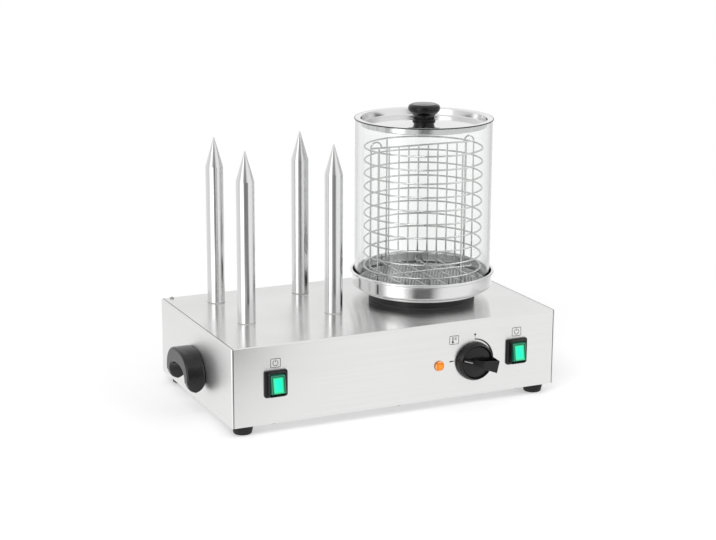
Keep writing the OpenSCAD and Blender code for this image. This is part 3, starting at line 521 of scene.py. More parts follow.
class ToasterSteamer(bpy.types.PropertyGroup):
    """Sizes and colours of the steamer and the spikes."""

    polished: colour_setting(
        "Polished steel", "Colour of the pan, the lid and the spikes", (0.80, 0.80, 0.80))
    chrome: colour_setting(
        "Chromed wire", "Colour of the basket's wire", (0.72, 0.72, 0.72))
    glass: colour_setting(
        "Glass", "Colour of the glass cylinder", (0.985, 0.995, 0.99))
    sheet: length_setting(
        "Sheet", "Thickness of the pan, the tray and the lid", 0.0008, 0.0005, 0.0012)
    wall: length_setting(
        "Pan wall", "Outer radius of the pan's wall", 0.101, 0.1, 0.103)
    base: length_setting(
        "Pan base", "Radius of the pan's base", 0.0905, 0.08, 0.093)
    step: length_setting(
        "Pan step", "Height of the step that the glass stands on", 0.0065, 0.004, 0.009)
    roll: length_setting(
        "Rim roll", "Diameter of the pan's rolled rim", 0.0044, 0.003, 0.006)
    hole: length_setting(
        "Tray hole", "Diameter of a hole in the tray", 0.0032, 0.002, 0.005)
    hole_pitch: length_setting(
        "Tray pitch", "Distance between the tray's holes", 0.0052, 0.004, 0.01)
    wire: length_setting(
        "Wire", "Diameter of the basket's wire", 0.0024, 0.0015, 0.003)


class ToasterStudio(bpy.types.PropertyGroup):
    """The camera and the light."""

    azimuth: angle_setting("Azimuth", "Camera's turn about the upright axis", -25.02)
    elevation: angle_setting("Elevation", "Camera's angle above the table", 14.10)
    roll: angle_setting("Roll", "Camera's turn about its own view", 0.28)
    distance: length_setting(
        "Distance", "From the camera to the point it aims at", 2.4407, 1.0, 6.0)
    aim: bpy.props.FloatVectorProperty(
        name="Aim", description="Point that the camera aims at", subtype="XYZ",
        size=3, default=(0.00273, 0.0, 0.17258))
    lens: bpy.props.FloatProperty(
        name="Lens", description="Focal length in millimetres", default=86.07, min=20, max=200)
    backdrop: bpy.props.FloatProperty(
        name="Backdrop", description="Brightness of the pale backdrop, where 1 is white",
        default=1.0, min=0.5, max=1.0)
    floor: length_setting("Floor", "Radius of the floor", 1.1, 0.5, 3.0)


# ---------------------------------------------------------------- printed signs

def strip_into(bm, place, outer, inner, closed=True):
    """A flat printed strip between two lines of as many points."""
    one, other = ([bm.verts.new(place @ Vector((x, y, 0))) for x, y in line]
                  for line in (outer, inner))
    for k in range(len(one) if closed else len(one) - 1):
        after = (k + 1) % len(one)
        bm.faces.new((one[k], one[after], other[after], other[k]))


def patch_into(bm, place, outline):
    """A flat printed patch."""
    bm.faces.new([bm.verts.new(place @ Vector((x, y, 0))) for x, y in outline])


def bar_into(bm, place, x0, y0, x1, y1):
    """A printed rectangle between two corners."""
    patch_into(bm, place, ((x0, y0), (x1, y0), (x1, y1), (x0, y1)))


def spot_into(bm, place, x, y, radius):
    """A printed dot."""
    patch_into(bm, place, arc((x, y), radius, 0, 360, 20)[:-1])


def square_sign_into(bm, place, size, line):
    """A square outline of printed line."""
    tall = size * 0.86
    corner = size * 0.13
    strip_into(bm, place, rounded_rectangle(size, tall, corner),
               rounded_rectangle(size - 2 * line, tall - 2 * line, corner - line))


def ring_into(bm, place, radius, line, start, end, steps=40):
    """A printed arc of even width."""
    strip_into(bm, place, arc((0, 0), radius + line / 2, start, end, steps),
               arc((0, 0), radius - line / 2, start, end, steps), closed=False)


# ---------------------------------------------------------------- casing


class DressCasing(bpy.types.Operator):
    """Gives the sheet-metal casing and its screws their finishes"""

    bl_idname = "toaster.casing"
    bl_label = "Casing"

    def execute(self, context):
        look = context.scene.toaster_casing
        deck = brushed_sheet("brushed_cover", look.steel, 0.20, (1, 0, 0), (7, 1300, 1300))
        side = brushed_sheet("brushed_side", [c * 0.98 for c in look.steel], 0.40,
                             (0, 1, 0), (1300, 7, 1300), 0.4)
        under = brushed_sheet("mill_base", (0.5, 0.5, 0.5), 0.42, (1, 0, 0), (9, 500, 500))
        screw = plain_metal("zinc_screws", (0.42, 0.42, 0.42), 0.33)
        dress("top_cover", deck)
        dress("left_side_panel", side)
        dress("right_side_panel", side)
        dress("bottom_plate", under)
        for node in ("bottom_screws", "foot_screws", "handle_screws", "deck_screws"):
            dress(node, screw)
        return {"FINISHED"}


class PrintSigns(bpy.types.Operator):
    """Prints the plain signs over the switches and round the thermostat"""

    bl_idname = "toaster.signs"
    bl_label = "Printed signs"

    def execute(self, context):
        look = context.scene.toaster_casing
        size, line = look.sign_size, look.line
        bm = bmesh.new()
        for node in ("left_switch_housing", "right_switch_housing"):
            centre = measured(node)[2]
            place = facing_panel(centre.x, centre.z + 0.0281, PRINT_LIFT)
            square_sign_into(bm, place, size, line)
            ring_into(bm, place, size * 0.25, line, 115, 425)
            bar_into(bm, place, -line / 2, size * 0.05, line / 2, size * 0.36)
        self.thermometer(bm, size, line)
        self.scale(bm, line)
        add_piece("printed_signs", finished(bm, "printed_signs"), "chassis", "black_housing",
                  printed_ink("sign_ink", look.ink))
        return {"FINISHED"}

    def thermometer(self, bm, size, line):
        """A square sign with a thermometer and three marks."""
        knob = measured("thermostat_knob")[2]
        place = facing_panel(knob.x - 0.0317, knob.z + 0.0335, PRINT_LIFT)
        square_sign_into(bm, place, size, line)
        stem = place @ Matrix.Translation((-size * 0.14, 0, 0))
        bar_into(bm, stem, -line, -size * 0.12, line, size * 0.3)
        spot_into(bm, stem, 0, -size * 0.2, size * 0.11)
        for rise in (0.04, 0.16, 0.28):
            bar_into(bm, place, size * 0.02, size * rise - line / 2, size * 0.26, size * rise + line / 2)

    def scale(self, bm, line):
        """The dot at off, the wedge that grows with the heat and the mark at its end."""
        knob = measured("thermostat_knob")[2]
        place = facing_panel(knob.x, knob.z, PRINT_LIFT)
        spot_into(bm, place, 0.0012, 0.0378, 0.0015)
        bar_into(bm, place, 0.0012 - line * 0.4, 0.0312, 0.0012 + line * 0.4, 0.0368)
        steps = 60
        start, end = 88, -62
        inner, outer = [], []
        for k in range(steps + 1):
            angle = math.radians(start + (end - start) * k / steps)
            share = min(1, 2.2 * k / steps)
            for line_points, reach in ((inner, 0.0304 - 0.0022 * share), (outer, 0.0319 - 0.0009 * share)):
                line_points.append((reach * math.cos(angle), reach * math.sin(angle)))
        strip_into(bm, place, outer, inner, closed=False)
        bar_into(bm, place, -0.0385, 0.0021, -0.0335, 0.0039)
        bar_into(bm, place, -0.0335, 0.0026, -0.0285, 0.0034)


class MakeHandles(bpy.types.Operator):
    """Builds the two arched handles"""

    bl_idname = "toaster.handles"
    bl_label = "Handles"

    def execute(self, context):
        look = context.scene.toaster_casing
        black = moulded_plastic("handle_bakelite", look.black, 0.17, 500.0, 0.000015,
                                Specular_IOR_Level=0.42)
        for node, side in (("left_handle", -1), ("right_handle", 1)):
            low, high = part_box(node)
            add_piece(node + "_moulding", self.mesh(node, low, high, side, look), "chassis",
                      "black_bakelite", black, node)
        return {"FINISHED"}

    @staticmethod
    def squircle(a, b, power, angle):
        """A point on a squared-off ellipse."""
        c, s = math.cos(angle), math.sin(angle)
        return (a * math.copysign(abs(c) ** (2 / power), c), b * max(s, 0) ** (2 / power))

    def mesh(self, name, low, high, side, look):
        """Rings along the arch, each a rounded section from the inner line to the outer one."""
        out = high.x - low.x
        near = low.x if side > 0 else high.x
        round_end = out / 2
        half = (high.y - low.y) / 2
        spring = low.z + look.handle_foot
        rise = high.z - spring
        inner_half = half - look.handle_leg
        inner_rise = rise - look.handle_top
        stations = []
        for k in range(11):
            turn = math.radians(90 * (1 - k / 10))
            drop = round_end * math.sin(turn)
            share = drop / look.handle_foot
            width = max(round_end * math.cos(turn), 0.0012) * (0.93 if k < 10 else 1)
            stations.append(((half - 0.004 * share, spring - drop - (look.handle_foot - round_end)),
                             (inner_half + 0.004 * share, spring - drop - (look.handle_foot - round_end)),
                             width))
        arch = []
        steps = 40
        for k in range(1, steps):
            angle = math.pi * k / steps
            oy, oz = self.squircle(half, rise, 2.5, angle)
            iy, iz = self.squircle(inner_half, inner_rise, 2.3, angle)
            arch.append(((oy, spring + oz), (iy, spring + iz), round_end))
        mirrored = [((-o[0], o[1]), (-i[0], i[1]), w) for o, i, w in reversed(stations)]
        bm = bmesh.new()
        rings = []
        for outer, inner, width in stations + arch + mirrored:
            o = Vector((0, *outer))
            i = Vector((0, *inner))
            middle_x = near + side * round_end
            depth = (o - i).length
            radius = min(look.handle_edge, width * 0.9, depth * 0.4)
            ring = []
            for u, v in rounded_rectangle(2 * width, depth, radius, 4):
                point = i + (o - i) * (0.5 + v / depth)
                ring.append(Vector((middle_x + side * u, point.y, point.z)))
            rings.append(ring)
        loft_into(bm, rings)
        return finished(bm, name, math.radians(50))


class MakeFeet(bpy.types.Operator):
    """Builds the four tapered rubber feet"""

    bl_idname = "toaster.feet"
    bl_label = "Feet"

    def execute(self, context):
        rubber = soft_rubber("foot_rubber", (0.006, 0.006, 0.006))
        for place in ("front_left", "front_right", "back_left", "back_right"):
            node = "foot_" + place
            low, high, centre, top = measured(node)
            base = top * 0.83
            height = high.z - low.z
            profile = filleted([
                (0.0024, 0.005, 0), (0.005, 0.005, 0.0004), (0.005, 0, 0.0006), (base, 0, 0.0022),
                (top, height - 0.002, 0.001), (top, height, 0.0004), (0.0024, height, 0),
            ])
            add_piece(node + "_moulding", turned(node, profile, upright(centre.x, centre.y, low.z),
                                                 closed=True, steps=72),
                      "chassis", "foot_rubber", rubber, node)
        return {"FINISHED"}


# ---------------------------------------------------------------- controls

class MakeSwitches(bpy.types.Operator):
    """Builds the two switch housings and their lit rockers"""

    bl_idname = "toaster.switches"
    bl_label = "Switches"

    def execute(self, context):
        look = context.scene.toaster_casing
        shell = moulded_plastic("switch_shell", look.black, 0.30, 600.0, 0.00002,
                                Specular_IOR_Level=0.36)
        for side in ("left", "right"):
            housing = side + "_switch_housing"
            low, high, centre, _ = measured(housing)
            add_piece(housing + "_moulding", self.housing(housing, centre, low, high), "chassis",
                      "black_housing", shell, housing)
            rocker = side + "_rocker"
            lens = glowing(side + "_green_lens", (0.0, 0.05, 0.03), 1.0, (centre.x, centre.z),
                           (look.rocker_width / 2, look.rocker_height / 2), 0.0065, self.glow)
            add_piece(rocker + "_lens", self.rocker(rocker, centre, look), rocker, "green_lens",
                      lens, rocker)
        return {"FINISHED"}

    # from the edge inward: the moulded border's pale line, which is a painted highlight, its dark groove and
    # the lit middle
    glow = (
        (0.0, (0.0, 0.06, 0.03)), (0.06, (0.04, 0.30, 0.20)), (0.14, (0.03, 0.22, 0.14)),
        (0.20, (0.0, 0.045, 0.018)), (0.36, (0.0, 0.06, 0.022)), (0.46, (0.02, 0.62, 0.26)),
        (0.70, (0.04, 0.86, 0.42)), (1.0, (0.0, 0.97, 0.62)),
    )

    def housing(self, name, centre, low, high):
        """A flange, a raised frame and a well that the rocker sits in."""
        width, height = high.x - low.x, high.z - low.z
        out = PANEL_Y - low.y
        deep = high.y - PANEL_Y - 0.008
        well = (0.0210, 0.0301)
        body = (well[0] + 0.002, well[1] + 0.002)
        frame_size = (well[0] + 0.0036, well[1] + 0.0036)
        bm = bmesh.new()
        block_into(bm, facing_panel(centre.x, centre.z), [
            (*body, 0.001, -deep), (*body, 0.001, 0.0),
            (width, height, 0.003, 0.0), (width, height, 0.003, 0.0020),
            (width - 0.0006, height - 0.0006, 0.003, 0.0027), (width - 0.0016, height - 0.0016, 0.003, 0.003),
            (frame_size[0] + 0.0010, frame_size[1] + 0.0010, 0.003, 0.0033),
            (*frame_size, 0.003, out - 0.0009),
            (frame_size[0] - 0.0006, frame_size[1] - 0.0006, 0.003, out - 0.0003),
            (frame_size[0] - 0.0016, frame_size[1] - 0.0016, 0.0026, out),
            (well[0] + 0.0008, well[1] + 0.0008, 0.0018, out), (*well, 0.0014, out - 0.0008),
            (*well, 0.0012, -0.005),
        ])
        for side in (-1, 1):
            tag = facing_panel(centre.x, centre.z + side * 0.007, -deep)
            block_into(bm, tag, [(0.006, 0.0008, 0.0001, 0.0005), (0.006, 0.0008, 0.0001, -0.0078)])
        return finished(bm, name, math.radians(28))

    def rocker(self, name, centre, look):
        """A lens with a raised border round a hollow middle and a small ring near its foot."""
        place = (facing_panel(centre.x, centre.z, 0.0025)
                 @ Matrix.Rotation(-look.rocker_tilt, 4, "X"))
        width, height = look.rocker_width, look.rocker_height
        face = 0.009
        bm = bmesh.new()
        block_into(bm, place, [
            (width, height, 0.0009, -0.0036), (width, height, 0.0016, face - 0.0010),
            (width - 0.0005, height - 0.0005, 0.0018, face - 0.0003),
            (width - 0.0014, height - 0.0014, 0.0018, face),
            (width - 0.0030, height - 0.0030, 0.0016, face),
            (width - 0.0040, height - 0.0040, 0.0014, face - 0.0006),
            (width - 0.0066, height - 0.0068, 0.0012, face - 0.0011),
            (width - 0.0100, height - 0.0120, 0.0010, face - 0.0014),
        ])
        ring = place @ Matrix.Translation((0, -height * 0.33, face - 0.0016))
        turn_into(bm, [(0.0007, 0), (0.0007, 0.0005), (0.0014, 0.0005), (0.0014, 0)], ring,
                  closed=True, steps=24)
        return finished(bm, name, math.radians(40))


class MakeLamp(bpy.types.Operator):
    """Builds the orange indicator lamp"""

    bl_idname = "toaster.lamp"
    bl_label = "Lamp"

    def execute(self, context):
        low, high, centre, radius = measured("lamp_lens")
        out = high.y - low.y
        profile = filleted([
            (0, -0.0002, 0), (radius * 0.93, 0, 0.0002), (radius, 0.0004, 0.0005),
            (radius, out * 0.30, 0.0006), (radius * 0.86, out * 0.44, 0.0005),
            (radius * 0.80, out * 0.40, 0.0003), (radius * 0.76, out * 0.46, 0),
            (0.0003, out * 0.46, 0),
        ])
        place = facing_panel(centre.x, centre.z, PANEL_Y - high.y)
        lens = glowing("orange_lens", (0.75, 0.20, 0.01), 0.55, (centre.x, centre.z),
                       (radius, radius), radius, self.glow)
        bm = bmesh.new()
        turn_into(bm, profile, place, steps=64)
        self.facets_into(bm, place, radius, out)
        add_piece("lamp_lens_dome", finished(bm, "lamp_lens", math.radians(12)), "chassis",
                  "orange_lens", lens, "lamp_lens")
        dress("lamp_body", moulded_plastic("lamp_body", (0.62, 0.20, 0.02), 0.35))
        dress("lamp_nut", plain_metal("lamp_nut", (0.5, 0.5, 0.5), 0.3))
        return {"FINISHED"}

    # from the rim inward: a pale ring that is a painted highlight, a dark ring and the lit middle
    glow = (
        (0.0, (0.95, 0.72, 0.45)), (0.16, (0.90, 0.62, 0.30)), (0.26, (0.22, 0.06, 0.0)),
        (0.46, (0.50, 0.15, 0.0)), (0.70, (1.0, 0.28, 0.0)), (1.0, (1.0, 0.30, 0.0)),
    )

    @staticmethod
    def facets_into(bm, place, radius, out):
        """The cut middle of the lens, which rises in steps on six uneven sides."""
        levels = ((0.78, 0.42), (0.70, 0.62), (0.52, 0.84))
        loft_into(bm, [
            [place @ Vector((radius * reach * math.cos(math.radians(60 * k + 30)),
                             radius * reach * math.sin(math.radians(60 * k + 30)),
                             out * (height + (0.16 if k % 2 else 0.0)))) for k in range(6)]
            for reach, height in levels
        ])


class MakeThermostat(bpy.types.Operator):
    """Builds the thermostat's knob and finishes the parts behind it"""

    bl_idname = "toaster.thermostat"
    bl_label = "Thermostat"

    def execute(self, context):
        look = context.scene.toaster_casing
        low, high, centre, radius = measured("thermostat_knob")
        size = (radius, 0.010, high.y - low.y)
        place = facing_panel(centre.x, centre.z, PANEL_Y - high.y)
        black = moulded_plastic("knob_bakelite", look.black, 0.22, 800.0, 0.000015,
                                Specular_IOR_Level=0.36)
        add_piece("thermostat_knob_moulding", self.mesh(place, *size), "knob", "black_knob", black,
                  "thermostat_knob")
        add_piece("thermostat_knob_line", self.pointer(place, *size), "knob", "black_knob",
                  printed_ink("pointer_line", (0.34, 0.34, 0.34)))
        dress("thermostat", moulded_plastic("thermostat_body", (0.62, 0.58, 0.48), 0.45))
        dress("thermostat_shaft", plain_metal("thermostat_shaft", (0.5, 0.5, 0.5), 0.3))
        dress("thermostat_screws", plain_metal("thermostat_screws", (0.45, 0.45, 0.45), 0.33))
        dress("thermostat_probe", plain_metal("probe_copper", (0.72, 0.36, 0.2), 0.3))
        return {"FINISHED"}

    def mesh(self, place, radius, skirt, depth):
        """A skirt with a dished face and a bar grip that rises from the pointer to the tail."""
        bm = bmesh.new()
        turn_into(bm, filleted([
            (0.0032, -0.0, 0), (radius - 0.004, 0.0, 0), (radius - 0.0035, -0.0, 0),
            (radius - 0.0002, 0.0, 0.0003), (radius, 0.0012, 0.0006),
            (radius - 0.0007, 0.0058, 0.0008), (radius - 0.0020, 0.0070, 0.0006),
            (radius - 0.0030, skirt - 0.0002, 0.0005), (radius - 0.0040, skirt, 0.0005),
            (radius - 0.0058, skirt - 0.0026, 0.0010), (radius * 0.45, skirt - 0.0006, 0.004),
            (0, skirt, 0),
        ]), place, steps=128)
        self.grip_into(bm, place @ Matrix.Rotation(self.turn, 4, "Z"), radius, skirt, depth)
        return finished(bm, "thermostat_knob", math.radians(38))

    # how the grip stands: its pointer a little above level on the left
    turn = math.radians(-13)

    @staticmethod
    def rise(along, radius, skirt, depth):
        """Height of the grip's top at a place along it."""
        share = min(1, max(0, (along + radius * 0.82) / (radius * 0.95)))
        return skirt - 0.001 + (depth - skirt + 0.001) * (0.16 + 0.84 * share ** 0.75)

    def grip_into(self, bm, place, radius, skirt, depth):
        """The grip: it widens from the pointer's end to a broad tail cut along the skirt."""
        rings = []
        stations = 28
        low = skirt - 0.0035
        for k in range(stations + 1):
            share = k / stations
            x = -radius * 0.82 + share * radius * 1.80
            top = self.rise(x, radius, skirt, depth)
            foot = 0.0026 + 0.0072 * share ** 0.8
            crown = 0.0010 + 0.0080 * share ** 0.9
            section = filleted([
                (-foot, low, 0), (-foot, skirt - 0.0010, 0.001),
                (-(foot + 2 * crown) / 3, skirt + (top - skirt) * 0.45, 0.006),
                (-crown, top, 0.0010), (crown, top, 0.0010),
                ((foot + 2 * crown) / 3, skirt + (top - skirt) * 0.45, 0.006),
                (foot, skirt - 0.0010, 0.001), (foot, low, 0),
            ], step=math.radians(400))
            ring = []
            for y, z in section:
                cut = math.sqrt((radius * 0.985) ** 2 - y * y)
                ring.append(place @ Vector((min(x, cut), y, z)))
            rings.append(ring)
        loft_into(bm, rings)

    def pointer(self, place, radius, skirt, depth):
        """The short pale line inlaid in the pointer's end."""
        place = place @ Matrix.Rotation(self.turn, 4, "Z")
        bm = bmesh.new()
        line = [(x, self.rise(x, radius, skirt, depth))
                for x in (-radius * (0.80 - 0.06 * k) for k in range(7))]
        loft_into(bm, [
            [place @ Vector((x, y, z + lift)) for y, lift in
             ((-0.0006, -0.0006), (0.0006, -0.0006), (0.0006, 0.0002), (-0.0006, 0.0002))]
            for x, z in line
        ])
        return finished(bm, "thermostat_knob_line")


# ---------------------------------------------------------------- spikes

class MakeSpikes(bpy.types.Operator):
    """Builds the four polished bun spikes"""

    bl_idname = "toaster.spikes"
    bl_label = "Bun spikes"

    def execute(self, context):
        look = context.scene.toaster_steamer
        for place in SPIKES:
            node = "spike_" + place
            low, high, centre, radius = measured(node)
            shoulder = high.z - 0.042
            profile = filleted([
                (0.0, low.z + 0.001, 0), (0.008, low.z + 0.001, 0), (0.008, SEAL_TOP, 0),
                (radius, SEAL_TOP, 0.0005), (radius, shoulder, 0.004), (0.0007, high.z - 0.0008, 0.0006),
                (0, high.z, 0),
            ], step=math.radians(3))
            steel = turned_steel(node + "_steel", look.polished, 0.16, centre.x, centre.y)
            add_piece(node + "_tube", turned(node, profile, upright(centre.x, centre.y), steps=128),
                      "chassis", "spike_steel", steel, node)
        sheath = plain_metal("heater_sheath", (0.3, 0.29, 0.28), 0.42, 0.1)
        for place in SPIKES:
            dress("cartridge_" + place, sheath)
        dress("spike_seals", soft_rubber("clear_silicone", (0.82, 0.82, 0.80), 0.4))
        fastener = plain_metal("spike_fasteners", (0.5, 0.5, 0.5), 0.32)
        dress("spike_washers", fastener)
        dress("spike_nuts", fastener)
        return {"FINISHED"}


# ---------------------------------------------------------------- steamer

class MakeHeatingPlate(bpy.types.Operator):
    """Finishes the heating plate and the heater under it"""

    bl_idname = "toaster.heating_plate"
    bl_label = "Heating plate"

    def execute(self, context):
        low, high, _, radius = measured("heating_plate")
        profile = filleted([
            (0, SEAL_TOP, 0), (radius, SEAL_TOP, 0.0006), (radius, high.z - 0.0015, 0.0012),
            (radius - 0.0015, high.z, 0.0012), (radius * 0.62, high.z, 0),
            (radius * 0.60, high.z - 0.0004, 0), (0, high.z - 0.0004, 0),
        ])
        iron = moulded_plastic("heatproof_coating", (0.02, 0.02, 0.02), 0.5, 500.0, 0.00006)
        add_piece("heating_plate_casting",
                  turned("heating_plate", profile, ON_AXIS), "chassis",
                  "cast_plate", iron, "heating_plate")
        dress("heating_plate_seal", soft_rubber("plate_silicone", (0.10, 0.10, 0.10), 0.55))
        dress("ring_heater", plain_metal("ring_sheath", (0.28, 0.27, 0.26), 0.45, 0.1))
        dress("heater_clamp", plain_metal("clamp_steel", (0.5, 0.5, 0.5), 0.4))
        dress("heater_clamp_nut", plain_metal("clamp_nut", (0.5, 0.5, 0.5), 0.32))
        return {"FINISHED"}


class MakePan(bpy.types.Operator):
    """Builds the spun water pan with its rolled rim"""

    bl_idname = "toaster.pan"
    bl_label = "Water pan"

    def execute(self, context):
        look = context.scene.toaster_steamer
        half = look.sheet / 2
        floor = PAN_LOW.z + half
        step = PAN_LOW.z + look.step - half
        wall = look.wall - half
        roll = look.roll / 2 - half
        curl = (PAN_RIM - look.roll / 2, PAN_HIGH.z - look.roll / 2)
        line = filleted([
            (0.0, floor, 0), (look.base - half, floor, 0.0022), (look.base - half + 0.0008, step, 0.0022),
            (wall, step, 0.0034), (wall, curl[1] - 0.0045, 0.0025), (curl[0] - roll, curl[1], 0),
        ]) + arc(curl, roll, 180, -130, 18)[1:]
        outline = thickened(line, look.sheet)
        steel = turned_steel("spun_steel", look.polished, 0.13, AXIS.x, AXIS.y, 900.0, 0.4)
        add_piece("water_pan_spinning", turned("water_pan", outline, ON_AXIS, steps=192),
                  "pan", "pan_steel", steel, "water_pan")
        return {"FINISHED"}


class MakeTray(bpy.types.Operator):
    """Builds the perforated tray that stands in the pan"""

    bl_idname = "toaster.tray"
    bl_label = "Perforated tray"

    def execute(self, context):
        look = context.scene.toaster_steamer
        low, high, _, radius = measured("perforated_tray")
        bm = self.plate(radius, look, high.z)
        turn_into(bm, thickened(filleted([
            (radius - look.sheet * 2, high.z - look.sheet / 2, 0),
            (radius - look.sheet / 2, high.z - look.sheet / 2, 0.0012),
            (radius - look.sheet / 2, low.z, 0),
        ]), look.sheet), ON_AXIS, closed=True)
        steel = turned_steel("tray_steel", [c * 0.8 for c in look.polished], 0.30, AXIS.x, AXIS.y,
                             600.0, 0.2)
        add_piece("perforated_tray_plate", finished(bm, "perforated_tray"), "tray", "tray_steel",
                  steel, "perforated_tray")
        return {"FINISHED"}

    @staticmethod
    def plate(radius, look, top):
        """A disc with rows of round holes through it."""
        reach = radius - look.sheet * 1.5
        pitch, row = look.hole_pitch, look.hole_pitch * math.sqrt(3) / 2
        rows = math.ceil(radius / pitch) + 1
        holes = [Vector(((i + (j % 2) / 2) * pitch, j * row))
                 for j in range(-rows, rows + 1) for i in range(-rows, rows + 1)]
        holes = [hole for hole in holes if hole.length < reach - look.hole * 1.6]
        outlines = [arc((0, 0), reach, 0, 360, 160)[:-1]]
        outlines += [arc(hole, look.hole / 2, 0, 360, 10)[:-1] for hole in holes]
        points, edges = [], []
        for outline in outlines:
            first, count = len(points), len(outline)
            points += [Vector(p) for p in outline]
            edges += [(first + k, first + (k + 1) % count) for k in range(count)]
        flat, _, faces, _, _, _ = delaunay_2d_cdt(points, edges, [], 2, 1e-7)
        bm = bmesh.new()
        verts = [bm.verts.new((AXIS.x + p.x, AXIS.y + p.y, top)) for p in flat]
        for face in faces:
            bm.faces.new([verts[i] for i in face])
        cells = {}
        for hole in holes:
            cells.setdefault((round(hole.x / pitch), round(hole.y / pitch)), []).append(hole)
        filled = []
        for face in bm.faces:
            at = (face.calc_center_median() - AXIS).xy
            column, line = round(at.x / pitch), round(at.y / pitch)
            near = [hole for dx in (-1, 0, 1) for dy in (-1, 0, 1)
                    for hole in cells.get((column + dx, line + dy), ())]
            if any((hole - at).length < look.hole * 0.49 for hole in near):
                filled.append(face)
        bmesh.ops.delete(bm, geom=filled, context="FACES")
        made = bmesh.ops.extrude_face_region(bm, geom=list(bm.faces))
        moved = [v for v in made["geom"] if isinstance(v, bmesh.types.BMVert)]
        bmesh.ops.translate(bm, verts=moved, vec=(0, 0, -look.sheet))
        return bm


class MakeGlass(bpy.types.Operator):
    """Builds the glass cylinder with fire-polished ends"""

    bl_idname = "toaster.glass"
    bl_label = "Glass cylinder"

    def execute(self, context):
        look = context.scene.toaster_steamer
        low, high, _, outer = measured("glass_cylinder")
        inner = outer - 0.0035
        profile = filleted([
            (inner, low.z, 0.0014), (outer, low.z, 0.0014), (outer, high.z, 0.0014),
            (inner, high.z, 0.0014),
        ], closed=True)
        add_piece("glass_cylinder_tube",
                  turned("glass_cylinder", profile, ON_AXIS, closed=True, steps=256),
                  "glass", "clear_glass", clear_glass("clear_glass", look.glass), "glass_cylinder")
        return {"FINISHED"}


class MakeBasket(bpy.types.Operator):
    """Builds the wire basket with its divider and lifting ears"""

    bl_idname = "toaster.basket"
    bl_label = "Wire basket"

    hoops = 10
    hoop_pitch = 0.0193
    uprights = 10
    upright_pitch = 0.0155
    floor_wires = 5
    floor_pitch = 0.028
    ear = 0.008

    def execute(self, context):
        look = context.scene.toaster_steamer
        low, high, _, reach = measured("basket")
        wire = look.wire / 2
        radius = reach - wire
        tray_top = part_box("perforated_tray")[1].z
        first = tray_top + 0.020
        top = first + (self.hoops - 1) * self.hoop_pitch
        rail = tray_top + 0.010
        post = radius - look.wire * 0.85
        top_rail = top + look.wire * 0.85
        bm = bmesh.new()
        for k in range(self.hoops):
            wire_into(bm, self.circle(radius, first + k * self.hoop_pitch), wire, closed=True)
        for turn in range(4):
            angle = math.radians(14 + 90 * turn)
            self.straight(bm, (post * math.cos(angle), post * math.sin(angle), low.z + wire),
                          (post * math.cos(angle), post * math.sin(angle), top + wire), wire)
        for side in (-1, 1):
            self.straight(bm, (side * post, 0, rail), (side * post, 0, top + wire), wire)
        for height in (rail, top_rail):
            self.straight(bm, (-post, 0, height), (post, 0, height), wire)
        for k in range(self.uprights):
            x = (k - (self.uprights - 1) / 2) * self.upright_pitch
            self.straight(bm, (x, 0, rail), (x, 0, top_rail), wire * 0.92)
        self.floor(bm, post, rail - look.wire * 0.85, first, wire)
        for side in (-1, 1):
            bow = arc((AXIS.x + side * (post - self.ear), top_rail + wire * 0.4), self.ear, 0, 180, 14)
            wire_into(bm, [(x, AXIS.y, z) for x, z in bow], wire)
        chrome = plain_metal("chromed_wire", look.chrome, 0.12, 0.04)
        add_piece("basket_wires", finished(bm, "basket", math.radians(60)), "basket", "wire_chrome",
                  chrome, "basket")
        return {"FINISHED"}

    @staticmethod
    def circle(radius, height, steps=96):
        """Points of a level circle about the steamer's axis."""
        return [(AXIS.x + radius * math.cos(math.tau * k / steps),
                 AXIS.y + radius * math.sin(math.tau * k / steps), height) for k in range(steps)]

    @staticmethod
    def straight(bm, start, end, radius):
        """A straight wire between two points given from the steamer's axis."""
        shift = Vector((AXIS.x, AXIS.y, 0))
        wire_into(bm, [Vector(start) + shift, Vector(end) + shift], radius)

    def floor(self, bm, post, height, first, wire):
        """Floor wires across the basket, each bent up at both ends to the lowest hoop."""
        for k in range(self.floor_wires):
            x = (k - (self.floor_wires - 1) / 2) * self.floor_pitch
            half = math.sqrt(post ** 2 - x ** 2)
            bend = 0.003
            route = filleted([(-half, first, 0), (-half, height, bend), (half, height, bend),
                              (half, first, 0)])
            wire_into(bm, [(AXIS.x + x, AXIS.y + y, z) for y, z in route], wire)


